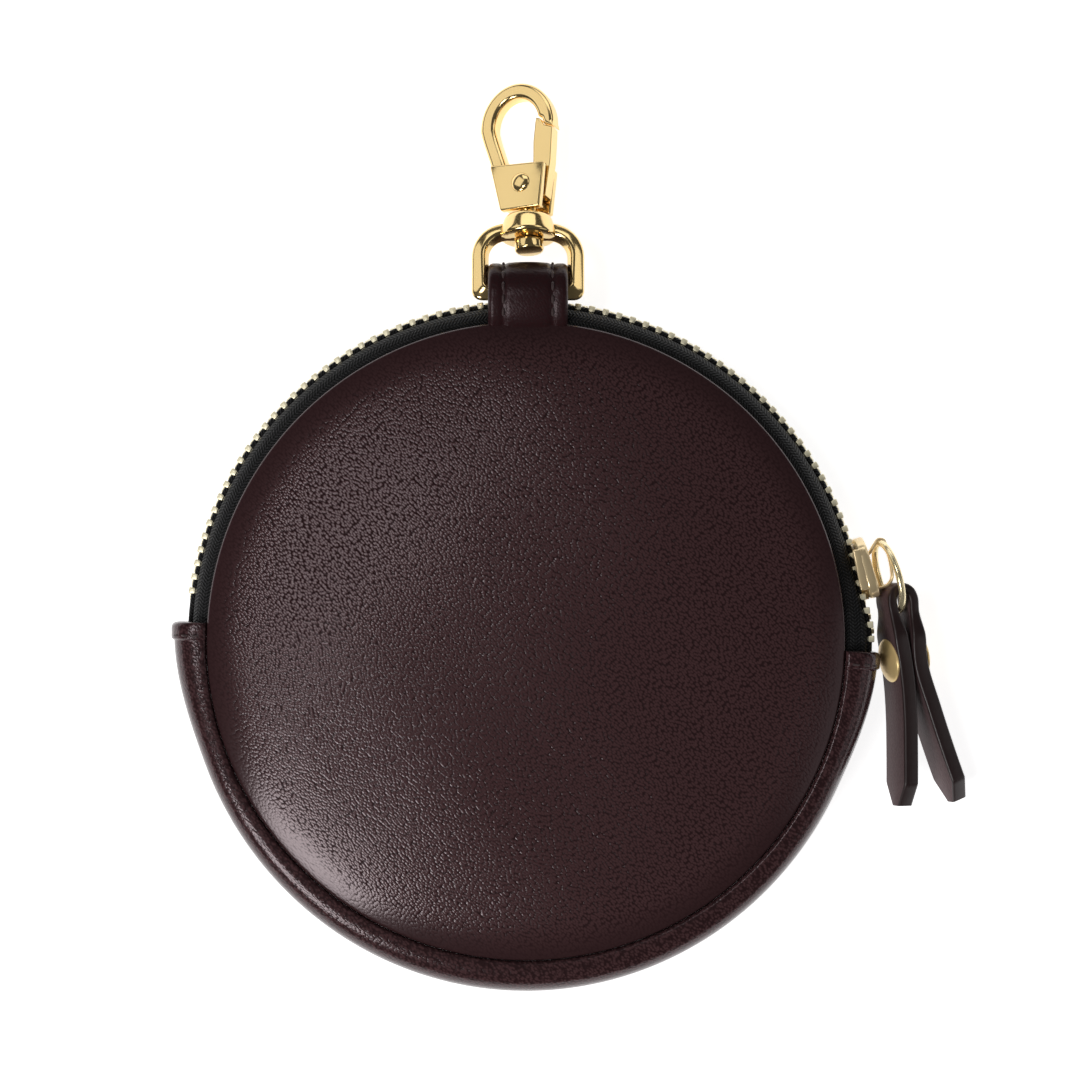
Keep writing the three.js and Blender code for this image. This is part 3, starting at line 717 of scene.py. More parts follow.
    def made(self, name: str, *finishes: bpy.types.Material, sharp: float = SHARP_EDGE) -> bpy.types.Object:
        """Makes the mesh object.

        Args:
            name: Name of the piece.
            finishes: Its materials, in the order of the faces' numbers.
            sharp: Angle in degrees from which an edge is shaded sharp.

        Returns:
            The object, linked to the scene.
        """
        mesh = bpy.data.meshes.new(name)
        mesh.from_pydata((np.vstack(self.points) * MM).tolist(), [], self.faces)
        for finish in finishes:
            mesh.materials.append(finish)
        mesh.polygons.foreach_set("material_index", self.marks)
        shell = bmesh.new()
        shell.from_mesh(mesh)
        bmesh.ops.recalc_face_normals(shell, faces=shell.faces)
        shell.to_mesh(mesh)
        shell.free()
        mesh.shade_smooth()
        mesh.set_sharp_from_angle(angle=math.radians(sharp))
        piece = bpy.data.objects.new(name, mesh)
        bpy.context.scene.collection.objects.link(piece)
        return piece


def fused(name: str, parts: Sequence[Form], finish: bpy.types.Material) -> bpy.types.Object:
    """Joins overlapping solids into one skin.

    Args:
        name: Name of the piece.
        parts: Closed solids that overlap.
        finish: Material of the piece.

    Returns:
        The joined object.
    """
    piece = parts[0].made(name, finish)
    for part in parts[1:]:
        tool = part.made(name + "_part", finish)
        join = piece.modifiers.new("join", "BOOLEAN")
        join.operation = "UNION"
        join.solver = "MANIFOLD"
        join.object = tool
        bpy.context.view_layer.update()
        shape = bpy.data.meshes.new_from_object(piece.evaluated_get(bpy.context.evaluated_depsgraph_get()))
        piece.modifiers.clear()
        piece.data = shape
        bpy.data.objects.remove(tool)
    piece.data.shade_smooth()
    piece.data.set_sharp_from_angle(angle=math.radians(SHARP_EDGE))
    return piece


def settle(piece: bpy.types.Object, body: Body, slot: Slot, *nodes: str) -> bpy.types.Object:
    """Says what a piece rides on, and hides the nodes that it stands for.

    Args:
        piece: The finished piece.
        body: Body that it moves with.
        slot: Material slot of the record; not used.
        nodes: Names of the nodes that it replaces.

    Returns:
        The piece.
    """
    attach(piece, body.value)
    if nodes:
        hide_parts(*nodes)
    return piece


@dataclass(frozen=True)
class Stitch:
    """Sizes of a row of stitches."""

    pitch: float
    length: float
    thread: float


def stitches(form: Form, path: np.ndarray, ups: np.ndarray, stitch: Stitch) -> None:
    """Adds a row of stitches along a path.

    Args:
        form: Form that takes the stitches.
        path: Close points along the row.
        ups: Direction away from the leather at each point.
        stitch: Sizes of the stitches.
    """
    gaps = np.linalg.norm(np.diff(path, axis=0), axis=1)
    places = np.concatenate([[0.0], np.cumsum(gaps)])
    count = int(places[-1] // stitch.pitch)
    margin = (places[-1] - count * stitch.pitch) / 2
    shares = np.linspace(-1.0, 1.0, 7)
    turns = np.linspace(0.0, 2 * math.pi, 8, endpoint=False)
    for number in range(count):
        middle = margin + (number + 0.5) * stitch.pitch
        spots = middle + shares * stitch.length / 2
        centre = np.stack([np.interp(spots, places, path[:, axis]) for axis in range(3)], axis=1)
        up = np.array([np.interp(middle, places, ups[:, axis]) for axis in range(3)])
        up /= np.linalg.norm(up)
        run = centre[-1] - centre[0]
        run /= np.linalg.norm(run)
        across = np.cross(up, run)
        swell = np.sqrt(np.clip(1.02 - shares**4, 0.0, 1.0))[:, None]
        dip = (0.30 - 0.55 * shares**2)[:, None] * stitch.thread
        ring = np.cos(turns)[:, None] * across + 0.8 * np.sin(turns)[:, None] * up
        rings = (centre + dip * up)[:, None] + ring[None] * (swell * stitch.thread / 2)[:, None]
        form.loft(rings)


@dataclass
class PouchBody:
    """Padded round panels and the leather gusset that joins their lower halves."""

    leather: bpy.types.Material
    gusset_leather: bpy.types.Material
    thread: bpy.types.Material
    radius: float = 47.9
    edge_rise: float = 0.6
    edge_roll: float = 0.7
    wall: float = 1.5
    middle: float = 8.5
    seam_depth: float = 5.0
    tuck: float = 1.1
    tuck_inset: float = 0.4
    sides: int = 240
    crown_rows: int = 54
    crown_reach: float = 40.0
    rim_rows: int = 14
    rim_start: float = 40.6
    inner_rows: int = 50
    bow_power: float = 2.2
    bow: float = 4.5
    drop_power: float = 12.0
    drop: float = 0.95
    back_power: float = 6.0
    back_crown: float = 4.9
    flat_blend: float = 0.5
    flat_sink: float = 0.02
    pad_swell: float = 0.16
    pad_ripples: tuple[float, float] = (0.05, 0.04)
    pad_fade: float = 0.75
    loop_dent: float = 0.35
    dent_centre: float = 0.3
    dent_width: float = 8.5
    dent_span: tuple[float, float] = (40.0, 47.5)
    gusset_start: float = 176.8
    gusset_end: float = 358.2
    hem_angle: float = 3.1
    hem_rise: float = 0.4
    hem_step: float = 0.35
    hem_growth: float = 0.05
    hem_low: float = 0.35
    hem_blend: float = 1.2
    hem_offset: float = 0.4
    hem_rows: int = 22
    hem_margin: float = 0.5
    run_rows: int = 200
    run_margin: float = 0.9
    lip_radius: float = 48.0
    lip_rise: float = 4.2
    fold: float = 0.58
    ridge_rise: float = 5.72
    side_reach: float = 51.8
    end_flare: float = 1.4
    flare_angle: float = 24.0
    end_round: float = 0.9
    end_angle: float = 1.0
    bottom_reach: float = 52.95
    bulge_power: float = 2.6
    gusset_wall: float = 1.2
    stitch_inset: float = 0.45
    stitched: tuple[int, int] = (8, 24)
    stitch: Stitch = Stitch(pitch=1.7, length=1.35, thread=0.32)

    def unevenness(self, points: np.ndarray) -> np.ndarray:
        """Slow swells of the padding.

        Args:
            points: Points of a panel.

        Returns:
            Rise at each point, fading out towards the seam.
        """
        x, y = points[:, 0], points[:, 1]
        long_ripple, short_ripple = self.pad_ripples
        swell = self.pad_swell * np.sin(x / 13.0 + 0.8) * np.sin(y / 15.0 - 0.4)
        ripple = long_ripple * np.sin(x / 6.1 - y / 7.3) + short_ripple * np.sin(x / 4.7 + y / 5.9 + 1.0)
        reach = np.hypot(x, y) / self.radius
        return (swell + ripple) * (1 - smooth_step(reach, self.pad_fade, 1.0))

    def face_height(self, radius: np.ndarray, side: Side) -> np.ndarray:
        """Rise of a panel's outer face above the seam.

        Args:
            radius: Distances from the pouch's middle.
            side: Front or back.

        Returns:
            The rise at each distance.
        """
        share = radius / self.radius
        if side is Side.BACK:
            return self.edge_rise + self.back_crown * (1 - share**self.back_power)
        bow = self.bow * (1 - share**self.bow_power)
        return self.edge_rise + bow + self.drop * (1 - share**self.drop_power)

    def panel(self, side: Side) -> bpy.types.Object:
        """Domed panel with a turned edge that rolls down into the seam.

        Args:
            side: Front or back.

        Returns:
            The panel.
        """
        start = self.radius - self.edge_roll
        step = 0.1
        above, below = self.face_height(np.array([start, start + step]), side)
        slope = math.atan2(above - below, step)
        reach = start + self.edge_roll * math.sin(slope)
        crown = np.linspace(0.0, self.crown_reach, self.crown_rows)
        spread = np.concatenate([crown, np.linspace(self.rim_start, reach, self.rim_rows)])
        outer = np.stack([spread, self.face_height(spread, side)], axis=1)
        centre = (start, float(outer[-1, 1]) - self.edge_roll * math.cos(slope))
        roll = arc(centre, self.edge_roll, 90 - math.degrees(slope), 0.0, 9)[1:]
        lip = np.array([[self.radius, -0.5 * self.tuck], [self.radius - self.tuck_inset, -self.tuck]])
        inside = np.linspace(self.radius - self.wall, 0.0, self.inner_rows)
        inner = np.stack([inside, self.face_height(inside, side) - self.wall], axis=1)
        profile = np.vstack([outer, roll, lip, inner])
        profile[:, 1] += self.seam_depth
        form = Form()
        form.lathe(profile, self.sides)
        points = np.vstack(form.points)
        points[:, 2] += self.unevenness(points)
        if side is Side.FRONT:
            points[:, 2] -= self.pressed_by_loop(points)
        points[:, 2] = self.middle + side.value * points[:, 2]
        if side is Side.BACK:
            points[:, 2] = self.pressed(points)
        form.points = [points]
        name = f"{side.name.lower()}_panel"
        piece = form.made(name + "_leather", self.leather, sharp=60)
        return settle(piece, Body.POUCH, Slot.PANEL_LEATHER, name)

    def pressed_by_loop(self, points: np.ndarray) -> np.ndarray:
        """How far the clip's leather loop presses the front panel's edge in."""
        across = np.exp(-((points[:, 0] - self.dent_centre) / self.dent_width) ** 2)
        return self.loop_dent * across * smooth_step(points[:, 1], *self.dent_span)

    def pressed(self, points: np.ndarray) -> np.ndarray:
        """Presses the back panel flat where it lies on the table.

        Args:
            points: Points of its outer and inner face.

        Returns:
            The new height of each point.
        """
        height = points[:, 2]
        reach = np.hypot(points[:, 0], points[:, 1])
        outer = self.middle - self.seam_depth - self.face_height(reach, Side.BACK)
        inside = height > outer + 0.5 * self.wall
        floor = np.where(inside, self.wall, 0.0)
        over = height - floor
        return floor + 0.5 * (over + np.sqrt(over**2 + self.flat_blend**2)) - self.flat_sink

    def from_end(self, angle: float) -> float:
        """Angle from the nearer end of the gusset."""
        return min(angle - self.gusset_start, self.gusset_end - angle)

    def hem(self, angle: float) -> float:
        """How much of the turned hem stands proud at an angle."""
        risen = 1 - smooth_step(self.from_end(angle), self.hem_angle - self.hem_step, self.hem_angle)
        return float(risen * (self.hem_low + (1 - self.hem_low) * self.end_rounding(angle)))

    def end_rounding(self, angle: float) -> float:
        """Quarter circle from 0 at the hem's end to 1 at its full height."""
        share = min(self.from_end(angle) / self.end_angle, 1.0)
        return math.sqrt(max(0.0, 1 - (1 - share) ** 2))

    def gusset_section(self, angle: float, hem: float) -> tuple[np.ndarray, np.ndarray]:
        """Points of the gusset's outer and inner face at an angle.

        Args:
            angle: Place round the pouch in degrees.
            hem: How much of the hem's step shows there.

        Returns:
            Outer points and inner points, from the front lip to the back lip.
        """
        turn = math.radians(angle)
        flare = self.end_flare * (1 - smooth_step(self.from_end(angle), 0.0, self.flare_angle))
        rounding = self.end_round * (1 - self.end_rounding(angle))
        sag = (self.bottom_reach - self.side_reach) * math.sin(turn) ** 2
        reach = self.side_reach + sag + flare - rounding
        ridge = self.lip_radius + self.fold
        lip = [(self.lip_radius, self.lip_rise)]
        fold = arc((ridge, self.ridge_rise - self.fold), self.fold, 180.0, 90.0, 7)[:-1]
        bow = np.radians(np.linspace(0.0, 90.0, 25))
        swell, drop = np.sin(bow) ** (2 / self.bulge_power), np.cos(bow) ** (2 / self.bulge_power)
        drop[-1] = 0.0
        flank = np.stack([ridge + (reach - ridge) * swell, self.ridge_rise * drop], axis=1)
        front = np.vstack([lip, fold, flank])
        inner_reach, inner_rise = reach - self.gusset_wall, self.ridge_rise - self.gusset_wall
        inset = np.stack([ridge + (inner_reach - ridge) * swell, inner_rise * drop], axis=1)
        back = np.array([1.0, -1.0])
        outer = np.vstack([front, front[-2::-1] * back])
        inner = np.vstack([inset, inset[-2::-1] * back])
        share = np.clip((outer[:, 0] - ridge + self.hem_offset) / self.hem_blend, 0.0, 1.0)
        outer[:, 0] += hem * share * self.hem_rise
        outer[:, 1] *= 1 + hem * self.hem_growth
        direction = np.array([math.cos(turn), math.sin(turn)])

        def turned(rows: np.ndarray) -> np.ndarray:
            """Puts rows of radius and rise at the angle."""
            return np.column_stack([rows[:, :1] * direction, self.middle + rows[:, 1]])

        return turned(outer), turned(inner)

    def gusset(self) -> bpy.types.Object:
        """Gusset with a turned and rounded hem at each end.

        Returns:
            The gusset.
        """
        fine = np.linspace(0.0, self.hem_angle + self.hem_margin, self.hem_rows)
        past_hem = self.hem_angle + self.run_margin
        run = np.linspace(self.gusset_start + past_hem, self.gusset_end - past_hem, self.run_rows)
        angles = np.concatenate([self.gusset_start + fine, run, (self.gusset_end - fine)[::-1]])
        rings = []
        for angle in angles:
            outer, inner = self.gusset_section(angle, self.hem(angle))
            rings.append(np.vstack([outer, inner[::-1]]))
        form = Form()
        form.loft(np.array(rings))
        piece = form.made("gusset_leather", self.gusset_leather, sharp=60)
        return settle(piece, Body.POUCH, Slot.PANEL_LEATHER, "gusset")

    def hem_stitches(self) -> bpy.types.Object:
        """Row of stitches across each hem.

        Returns:
            Both rows as one piece.
        """
        form = Form()
        inset = self.hem_angle - self.hem_step - self.stitch_inset
        first, last = self.stitched
        for angle in (self.gusset_start + inset, self.gusset_end - inset):
            path, _ = self.gusset_section(angle, 1.0)
            turn = math.radians(angle)
            out = np.array([math.cos(turn), math.sin(turn), 0.0])
            run = np.gradient(path, axis=0)
            ahead = np.array([-math.sin(turn), math.cos(turn), 0.0])
            ups = np.cross(run, ahead)
            ups *= np.sign(ups @ out)[:, None]
            ups /= np.linalg.norm(ups, axis=1)[:, None]
            for part in (slice(first, last), slice(-last, -first)):
                stitches(form, path[part], ups[part], self.stitch)
        return settle(form.made("hem_stitches", self.thread), Body.POUCH, Slot.PANEL_LEATHER)

    def build(self) -> list[bpy.types.Object]:
        """Builds the body's pieces."""
        return [self.panel(Side.FRONT), self.panel(Side.BACK), self.gusset(), self.hem_stitches()]


@dataclass
class ZipFastener:
    """Woven tapes, their beads and metal teeth, and the slider near the right end."""

    tape_cloth: bpy.types.Material
    tooth_metal: bpy.types.Material
    gold: bpy.types.Material
    start: float = -1.5
    end: float = 176.5
    under_hem: float = 2.2
    middle: float = 8.5
    tape_thickness: float = 0.8
    # Radius, rise, and share of the zip's spread
    tape_rows: Rows = (
        (46.3, 4.3, 0.0), (47.6, 4.28, 0.0), (48.5, 4.02, 0.1),
        (49.2, 3.5, 0.35), (49.65, 2.9, 0.8), (49.9, 2.2, 1.0),
    )
    stations: int = 240
    pitch_radius: float = 50.6
    pitch: float = 2.1
    row_spread: float = 1.4
    spread_from: float = 15.0
    spread_to: float = 9.5
    push_from: float = 1.0
    front_push: float = 1.0
    back_push: float = 1.5
    bead_centre: float = 50.45
    bead_radius: float = 0.6
    bead_rise: float = 1.3
    # Rise, depth across the zip and length along it
    tooth_rows: Rows = (
        (-0.55, 0.62, 0.42), (-0.45, 0.85, 0.62), (0.25, 0.95, 0.74), (0.70, 1.00, 0.80),
        (0.95, 1.18, 0.94), (1.55, 1.28, 1.00), (1.80, 1.20, 0.92), (1.88, 1.00, 0.74),
    )
    tooth_radius: float = 50.8
    tooth_corner: float = 0.16
    first_tooth: float = 0.75
    slider_angle: float = 12.0
    slider_length: float = 9.4
    slider_half_width: float = 4.45
    slider_taper: float = 1.6
    plate_in: float = 51.65
    plate_out: float = 53.3
    plate_tilt: float = 5.0
    plate_corner: float = 1.2
    plate_rim: float = 0.4
    nose_inset: float = 0.9
    overlap: float = 0.4
    lip_in: float = 50.75
    lip_width: float = 0.7
    inner_in: float = 48.5
    inner_out: float = 49.3
    inner_half_width: float = 1.5
    post_length: float = 1.6
    post_half_width: float = 0.4
    post_sink: float = 0.3
    # Outwards and along the zip
    bridge_path: Rows = (
        (52.5, 1.4), (53.6, 2.2), (54.6, 3.3), (55.3, 3.85), (55.95, 3.6), (56.2, 2.6), (56.3, 1.0),
        (56.3, -0.8), (56.0, -2.4), (55.2, -3.2), (53.8, -3.4), (52.5, -3.5),
    )
    bridge_width: float = 1.6
    bridge_thickness: float = 0.5

    def spread(self, angle: np.ndarray | float) -> np.ndarray | float:
        """How far each row stands from the closed zip's line past the slider."""
        return self.row_spread * (1 - smooth_step(angle, self.spread_to, self.spread_from))

    def push(self, angle: float, side: Side) -> float:
        """How far a row is pushed outwards between the slider and the right hem."""
        most = self.front_push if side is Side.FRONT else self.back_push
        return most * (1 - smooth_step(angle, self.push_from, self.spread_to))

    def angles(self) -> np.ndarray:
        """Places round the pouch, from under one hem to under the other."""
        return np.linspace(self.start - self.under_hem, self.end + self.under_hem, self.stations)

    def tape(self, side: Side) -> bpy.types.Object:
        """Woven tape from under the panel's edge down to the teeth.

        Args:
            side: Front or back.

        Returns:
            The tape.
        """
        rows = smooth_rows(self.tape_rows, 0.25)
        run = np.gradient(rows[:, :2], axis=0)
        run /= np.linalg.norm(run, axis=1)[:, None]
        shift = np.stack([-run[:, 1], run[:, 0]], axis=1) * self.tape_thickness / 2
        rings = []
        for angle in self.angles():
            centre = rows[:, :2] + np.outer(rows[:, 2], [self.push(angle, side), self.spread(angle)])
            radius, rise = np.vstack([centre + shift, (centre - shift)[::-1]]).T
            turn = math.radians(angle)
            height = self.middle + side.value * rise
            rings.append(np.stack([radius * math.cos(turn), radius * math.sin(turn), height], axis=1))
        form = Form()
        form.loft(np.array(rings))
        piece = form.made(f"{side.name.lower()}_tape", self.tape_cloth, sharp=60)
        return settle(piece, Body.POUCH, Slot.ZIP_TAPE, f"zip_tape_{side.name.lower()}")

    def bead(self, side: Side) -> bpy.types.Object:
        """Corded edge of a tape, which the teeth clamp.

        Args:
            side: Front or back.

        Returns:
            The bead.
        """
        turns = np.linspace(0.0, 2 * math.pi, 12, endpoint=False)
        rings = []
        for angle in self.angles():
            rise = self.bead_rise + self.spread(angle)
            radius = self.bead_centre + self.push(angle, side) + self.bead_radius * np.cos(turns)
            height = self.middle + side.value * (rise + self.bead_radius * np.sin(turns))
            turn = math.radians(angle)
            rings.append(np.stack([radius * math.cos(turn), radius * math.sin(turn), height], axis=1))
        form = Form()
        form.loft(np.array(rings))
        return settle(form.made(f"{side.name.lower()}_bead", self.tape_cloth), Body.POUCH, Slot.ZIP_TAPE)

    def teeth(self, side: Side) -> bpy.types.Object:
        """One row of separate metal teeth, clamped on its bead.

        Args:
            side: Front or back. The back row is set off by half a pitch.

        Returns:
            The row as one piece.
        """
        pitch = math.degrees(self.pitch / self.pitch_radius)
        count = int((self.end - self.start) // pitch) - 1
        set_off = 0.0 if side is Side.FRONT else 0.5
        form = Form()
        for number in range(count):
            angle = self.start + pitch * (number + self.first_tooth + set_off)
            turn = math.radians(angle)
            out = np.array([math.cos(turn), math.sin(turn), 0.0])
            along = np.array([-math.sin(turn), math.cos(turn), 0.0])
            rings = []
            for rise, depth, length in self.tooth_rows:
                section = rounded_section(depth, length, self.tooth_corner, 2)
                height = self.middle + side.value * (rise + self.spread(angle))
                centre = (self.tooth_radius + self.push(angle, side)) * out + np.array([0.0, 0.0, height])
                rings.append(centre + section[:, :1] * out + section[:, 1:] * along)
            form.loft(np.array(rings))
        name = f"zip_teeth_{side.name.lower()}"
        piece = form.made(f"{side.name.lower()}_teeth", self.tooth_metal, sharp=50)
        return settle(piece, Body.POUCH, Slot.ZIP_TEETH, name)

    def front_plate(self, half: float, flank: float) -> Form:
        """Outer plate of the slider, tilted a little.

        Args:
            half: Half the slider's length.
            flank: Half the length of its straight sides.

        Returns:
            The plate.
        """
        wide = self.slider_half_width
        shoulder = wide - self.slider_taper
        nose = shoulder - self.nose_inset
        shield = rounded_polygon(
            [(-half, -shoulder), (-flank, -wide), (flank, -wide), (half, -nose),
             (half, nose), (flank, wide), (-flank, wide), (-half, shoulder)],
            self.plate_corner,
        )
        plate = Form()
        plate.plate(shield, self.plate_in, self.plate_out, self.plate_rim)
        middle = Matrix.Translation((self.plate_in, 0.0, 0.0))
        tilt = middle @ Matrix.Rotation(math.radians(self.plate_tilt), 4, "Z") @ middle.inverted()
        return plate.place(tilt @ FACING_OUT)

    @staticmethod
    def block(
        ends: tuple[float, float], half: float, span: tuple[float, float], corner: float, rim: float
    ) -> Form:
        """Flat block of the slider.

        Args:
            ends: Where it starts and ends along the zip.
            half: Half its width.
            span: Where it starts and ends outwards from the pouch's middle.
            corner: Radius of its corners.
            rim: Radius of its rims.

        Returns:
            The block.
        """
        first, last = ends
        outline = rounded_polygon([(first, -half), (last, -half), (last, half), (first, half)], corner)
        form = Form()
        form.plate(outline, *span, rim)
        return form.place(FACING_OUT)

    def bridge(self) -> Form:
        """Bow on the slider's front that holds the pull.

        Returns:
            The bow.
        """
        path = smooth_rows(self.bridge_path, 0.18)
        run = np.gradient(path, axis=0)
        run /= np.linalg.norm(run, axis=1)[:, None]
        centres = np.column_stack([path, np.zeros(len(path))])
        sides = np.column_stack([-run[:, 1], run[:, 0], np.zeros(len(path))])
        ups = np.tile([0.0, 0.0, 1.0], (len(path), 1))
        sizes = np.tile([self.bridge_thickness, self.bridge_width], (len(path), 1))
        form = Form()
        form.sweep(centres, sides, ups, sizes, self.bridge_thickness / 2)
        return form

    def slider(self) -> bpy.types.Object:
        """Slider with its two plates, side lips and the bridge that holds the pull.

        Returns:
            The slider as one skin.
        """
        half = self.slider_length / 2
        flank = half - self.slider_taper
        parts = [self.front_plate(half, flank)]
        under_plate = self.plate_in + self.overlap
        for sign in (-1, 1):
            lip = self.block((-flank, flank), self.lip_width / 2, (self.lip_in, under_plate), 0.3, 0.2)
            shift = sign * (self.slider_half_width - self.lip_width / 2)
            parts.append(lip.place(Matrix.Translation((0.0, 0.0, shift))))
        inner_span = (self.inner_in, self.inner_out)
        parts.append(self.block((-half, flank), self.inner_half_width, inner_span, 0.8, 0.25))
        post_span = (self.inner_in + self.post_sink, under_plate)
        post_ends = (-half, self.post_length - half)
        parts.append(self.block(post_ends, self.post_half_width, post_span, 0.3, 0.1))
        parts.append(self.bridge())
        lift = Matrix.Translation((0, 0, self.middle))
        turned = lift @ Matrix.Rotation(math.radians(self.slider_angle), 4, "Z")
        piece = fused("slider", [part.place(turned) for part in parts], self.gold)
        return settle(piece, Body.POUCH, Slot.GOLD, "zip_slider")

    def build(self) -> list[bpy.types.Object]:
        """Builds the zip's pieces.

        Returns:
            Tape, bead and teeth of both sides, and the slider.
        """
        made = []
        for side in Side:
            made += [self.tape(side), self.bead(side), self.teeth(side)]
        return made + [self.slider()]


@dataclass
class ZipPull:
    """Wire ring, folded leather strap and rivet that hang from the slider."""

    leather: bpy.types.Material
    edge_paint: bpy.types.Material
    gold: bpy.types.Material
    rivet_gold: bpy.types.Material
    hang: tuple[float, float, float] = (56.3, 4.5, 8.5)
    ring_lean: float = 17.0
    strap_lean: float = 20.0
    ring_turn: float = 16.0
    ring_radius: float = 5.3
    ring_wire: float = 0.52
    ring_squeeze: float = 0.78
    ring_stations: int = 72
    fold_radius: float = 1.75
    fold_centre: tuple[float, float] = (-0.25, 1.7)
    fold_turn: float = 14.0
    fold_thickness: float = 1.5
    # Across, along, rise and thickness of each station, from the fold to the tip
    left_leg: Rows = (
        (-1.7, 0.0, 0.0, 1.5), (-0.9, -3.6, -0.3, 2.2), (0.0, -7.4, -0.7, 2.3), (0.6, -11.5, -0.8, 2.3),
        (0.95, -16.0, -0.9, 2.3), (1.1, -22.0, -1.0, 2.3), (1.15, -29.6, -1.1, 2.3),
    )
    # The same columns for the other leg
    right_leg: Rows = (
        (1.7, 0.0, 0.0, 1.5), (2.1, -3.6, -0.3, 2.2), (2.55, -7.4, -0.7, 2.3), (4.95, -14.9, -0.8, 2.3),
        (7.4, -21.6, -0.9, 2.3), (10.2, -28.8, -0.9, 2.3),
    )
    strap_width: float = 7.0
    fold_width: float = 4.9
    widening: float = 4.2
    strap_corner: float = 0.4
    tip_width: float = 2.4
    tip_length: float = 3.4
    rivet_along: float = -7.4
    rivet_rise: float = -0.7
    rivet_faces: tuple[float, float] = (-1.15, 3.75)
    rivet_turn: float = 10.0
    cap_radius: float = 3.3
    cap_height: float = 0.8
    # Shares of the cap's radius and height
    cap_rows: Rows = (
        (1.0, 0.0), (1.0, 0.25), (0.96, 0.42), (0.8, 0.68), (0.5, 0.92), (0.25, 0.98), (0.0, 1.0),
    )
    shaft_radius: float = 1.0

    def hanging(self) -> Matrix:
        """Placing of the strap's own frame."""
        return Matrix.Translation(self.hang) @ Matrix.Rotation(math.radians(self.strap_lean), 4, "Y")

    def ring(self) -> bpy.types.Object:
        """Oval wire ring through the bridge and the strap's fold.

        Returns:
            The ring.
        """
        count = self.ring_stations
        angles = np.linspace(0.0, 2 * math.pi, count, endpoint=False)
        out = np.stack([np.zeros(count), np.cos(angles), np.sin(angles)], axis=1)
        squeeze = np.array([1.0, 1.0, self.ring_squeeze])
        centres = self.ring_radius * out * squeeze + np.array([0.0, self.ring_radius, 0.0])
        run = np.roll(centres, -1, axis=0) - np.roll(centres, 1, axis=0)
        run /= np.linalg.norm(run, axis=1)[:, None]
        ups = np.tile([1.0, 0.0, 0.0], (count, 1))
        sizes = np.full((count, 2), 2 * self.ring_wire)
        form = Form()
        form.sweep(centres, np.cross(ups, run), ups, sizes, self.ring_wire, closed=True)
        turn = Matrix.Rotation(math.radians(self.ring_turn), 4, "Z")
        lean = Matrix.Rotation(math.radians(self.ring_lean), 4, "Y")
        form.place(Matrix.Translation(self.hang) @ turn @ lean)
        return settle(form.made("pull_wire_ring", self.gold), Body.POUCH, Slot.GOLD, "pull_ring")

    def strap(self) -> bpy.types.Object:
        """Leather strap folded over the ring, with painted edges.

        Returns:
            The strap.
        """
        fold = []
        for angle in range(180, -1, -30):
            turn = math.radians(angle + self.fold_turn)
            across = self.fold_centre[0] + self.fold_radius * math.cos(turn)
            along = self.fold_centre[1] + self.fold_radius * math.sin(turn)
            fold.append((across, along, 0.0, self.fold_thickness))
        rows = smooth_rows([*reversed(self.left_leg), *fold, *self.right_leg], 0.35)
        run = np.gradient(rows[:, :2], axis=0)
        run /= np.linalg.norm(run, axis=1)[:, None]
        sides = np.column_stack([-run[:, 1], run[:, 0], np.zeros(len(rows))])
        ups = np.tile([0.0, 0.0, 1.0], (len(rows), 1))
        lengths = np.concatenate([[0.0], np.cumsum(np.linalg.norm(np.diff(rows[:, :2], axis=0), axis=1))])
        from_tip = np.minimum(lengths, lengths[-1] - lengths)
        past_tip = np.clip(from_tip / self.tip_length, 0.0, 1.0)
        tapered = self.tip_width + (self.strap_width - self.tip_width) * past_tip
        past_fold = smooth_step(-rows[:, 1], 0.0, self.widening)
        narrowed = self.fold_width + (self.strap_width - self.fold_width) * past_fold
        sizes = np.column_stack([rows[:, 3], np.minimum(tapered, narrowed)])
        steps = 3
        marks = self.edge_marks(steps)
        form = Form()
        form.sweep(rows[:, :3], sides, ups, sizes, self.strap_corner, marks=marks, steps=steps)
        form.place(self.hanging())
        piece = form.made("pull_strap_leather", self.leather, self.edge_paint, sharp=50)
        return settle(piece, Body.POUCH, Slot.STRAP_LEATHER, "pull_strap")

    @staticmethod
    def edge_marks(steps: int) -> list[int]:
        """Material number for each edge of the strap's section: 1 on its cut edges and corners."""
        corner = [1] * steps
        return corner + [1] + corner + [0] + corner + [1] + corner + [0]

    def rivet(self) -> bpy.types.Object:
        """Rivet with a low domed cap on each leg.

        Returns:
            The rivet.
        """
        left, right = self.rivet_faces
        shaft = self.shaft_radius
        caps = [(radius * self.cap_radius, height * self.cap_height) for radius, height in self.cap_rows]
        lower = [(radius, left - height) for radius, height in reversed(caps)]
        upper = [(radius, right + height) for radius, height in caps]
        form = Form()
        form.lathe([*lower, (shaft, left), (shaft, right), *upper], 48)
        spot = Matrix.Translation((0.0, self.rivet_along, self.rivet_rise))
        turn = Matrix.Rotation(math.radians(self.rivet_turn), 4, "Z")
        form.place(self.hanging() @ spot @ turn @ Matrix.Rotation(math.pi / 2, 4, "Y"))
        return settle(form.made("pull_rivet_caps", self.rivet_gold), Body.POUCH, Slot.GOLD, "pull_rivet")

    def build(self) -> list[bpy.types.Object]:
        """Builds the pull's pieces."""
        return [self.ring(), self.strap(), self.rivet()]


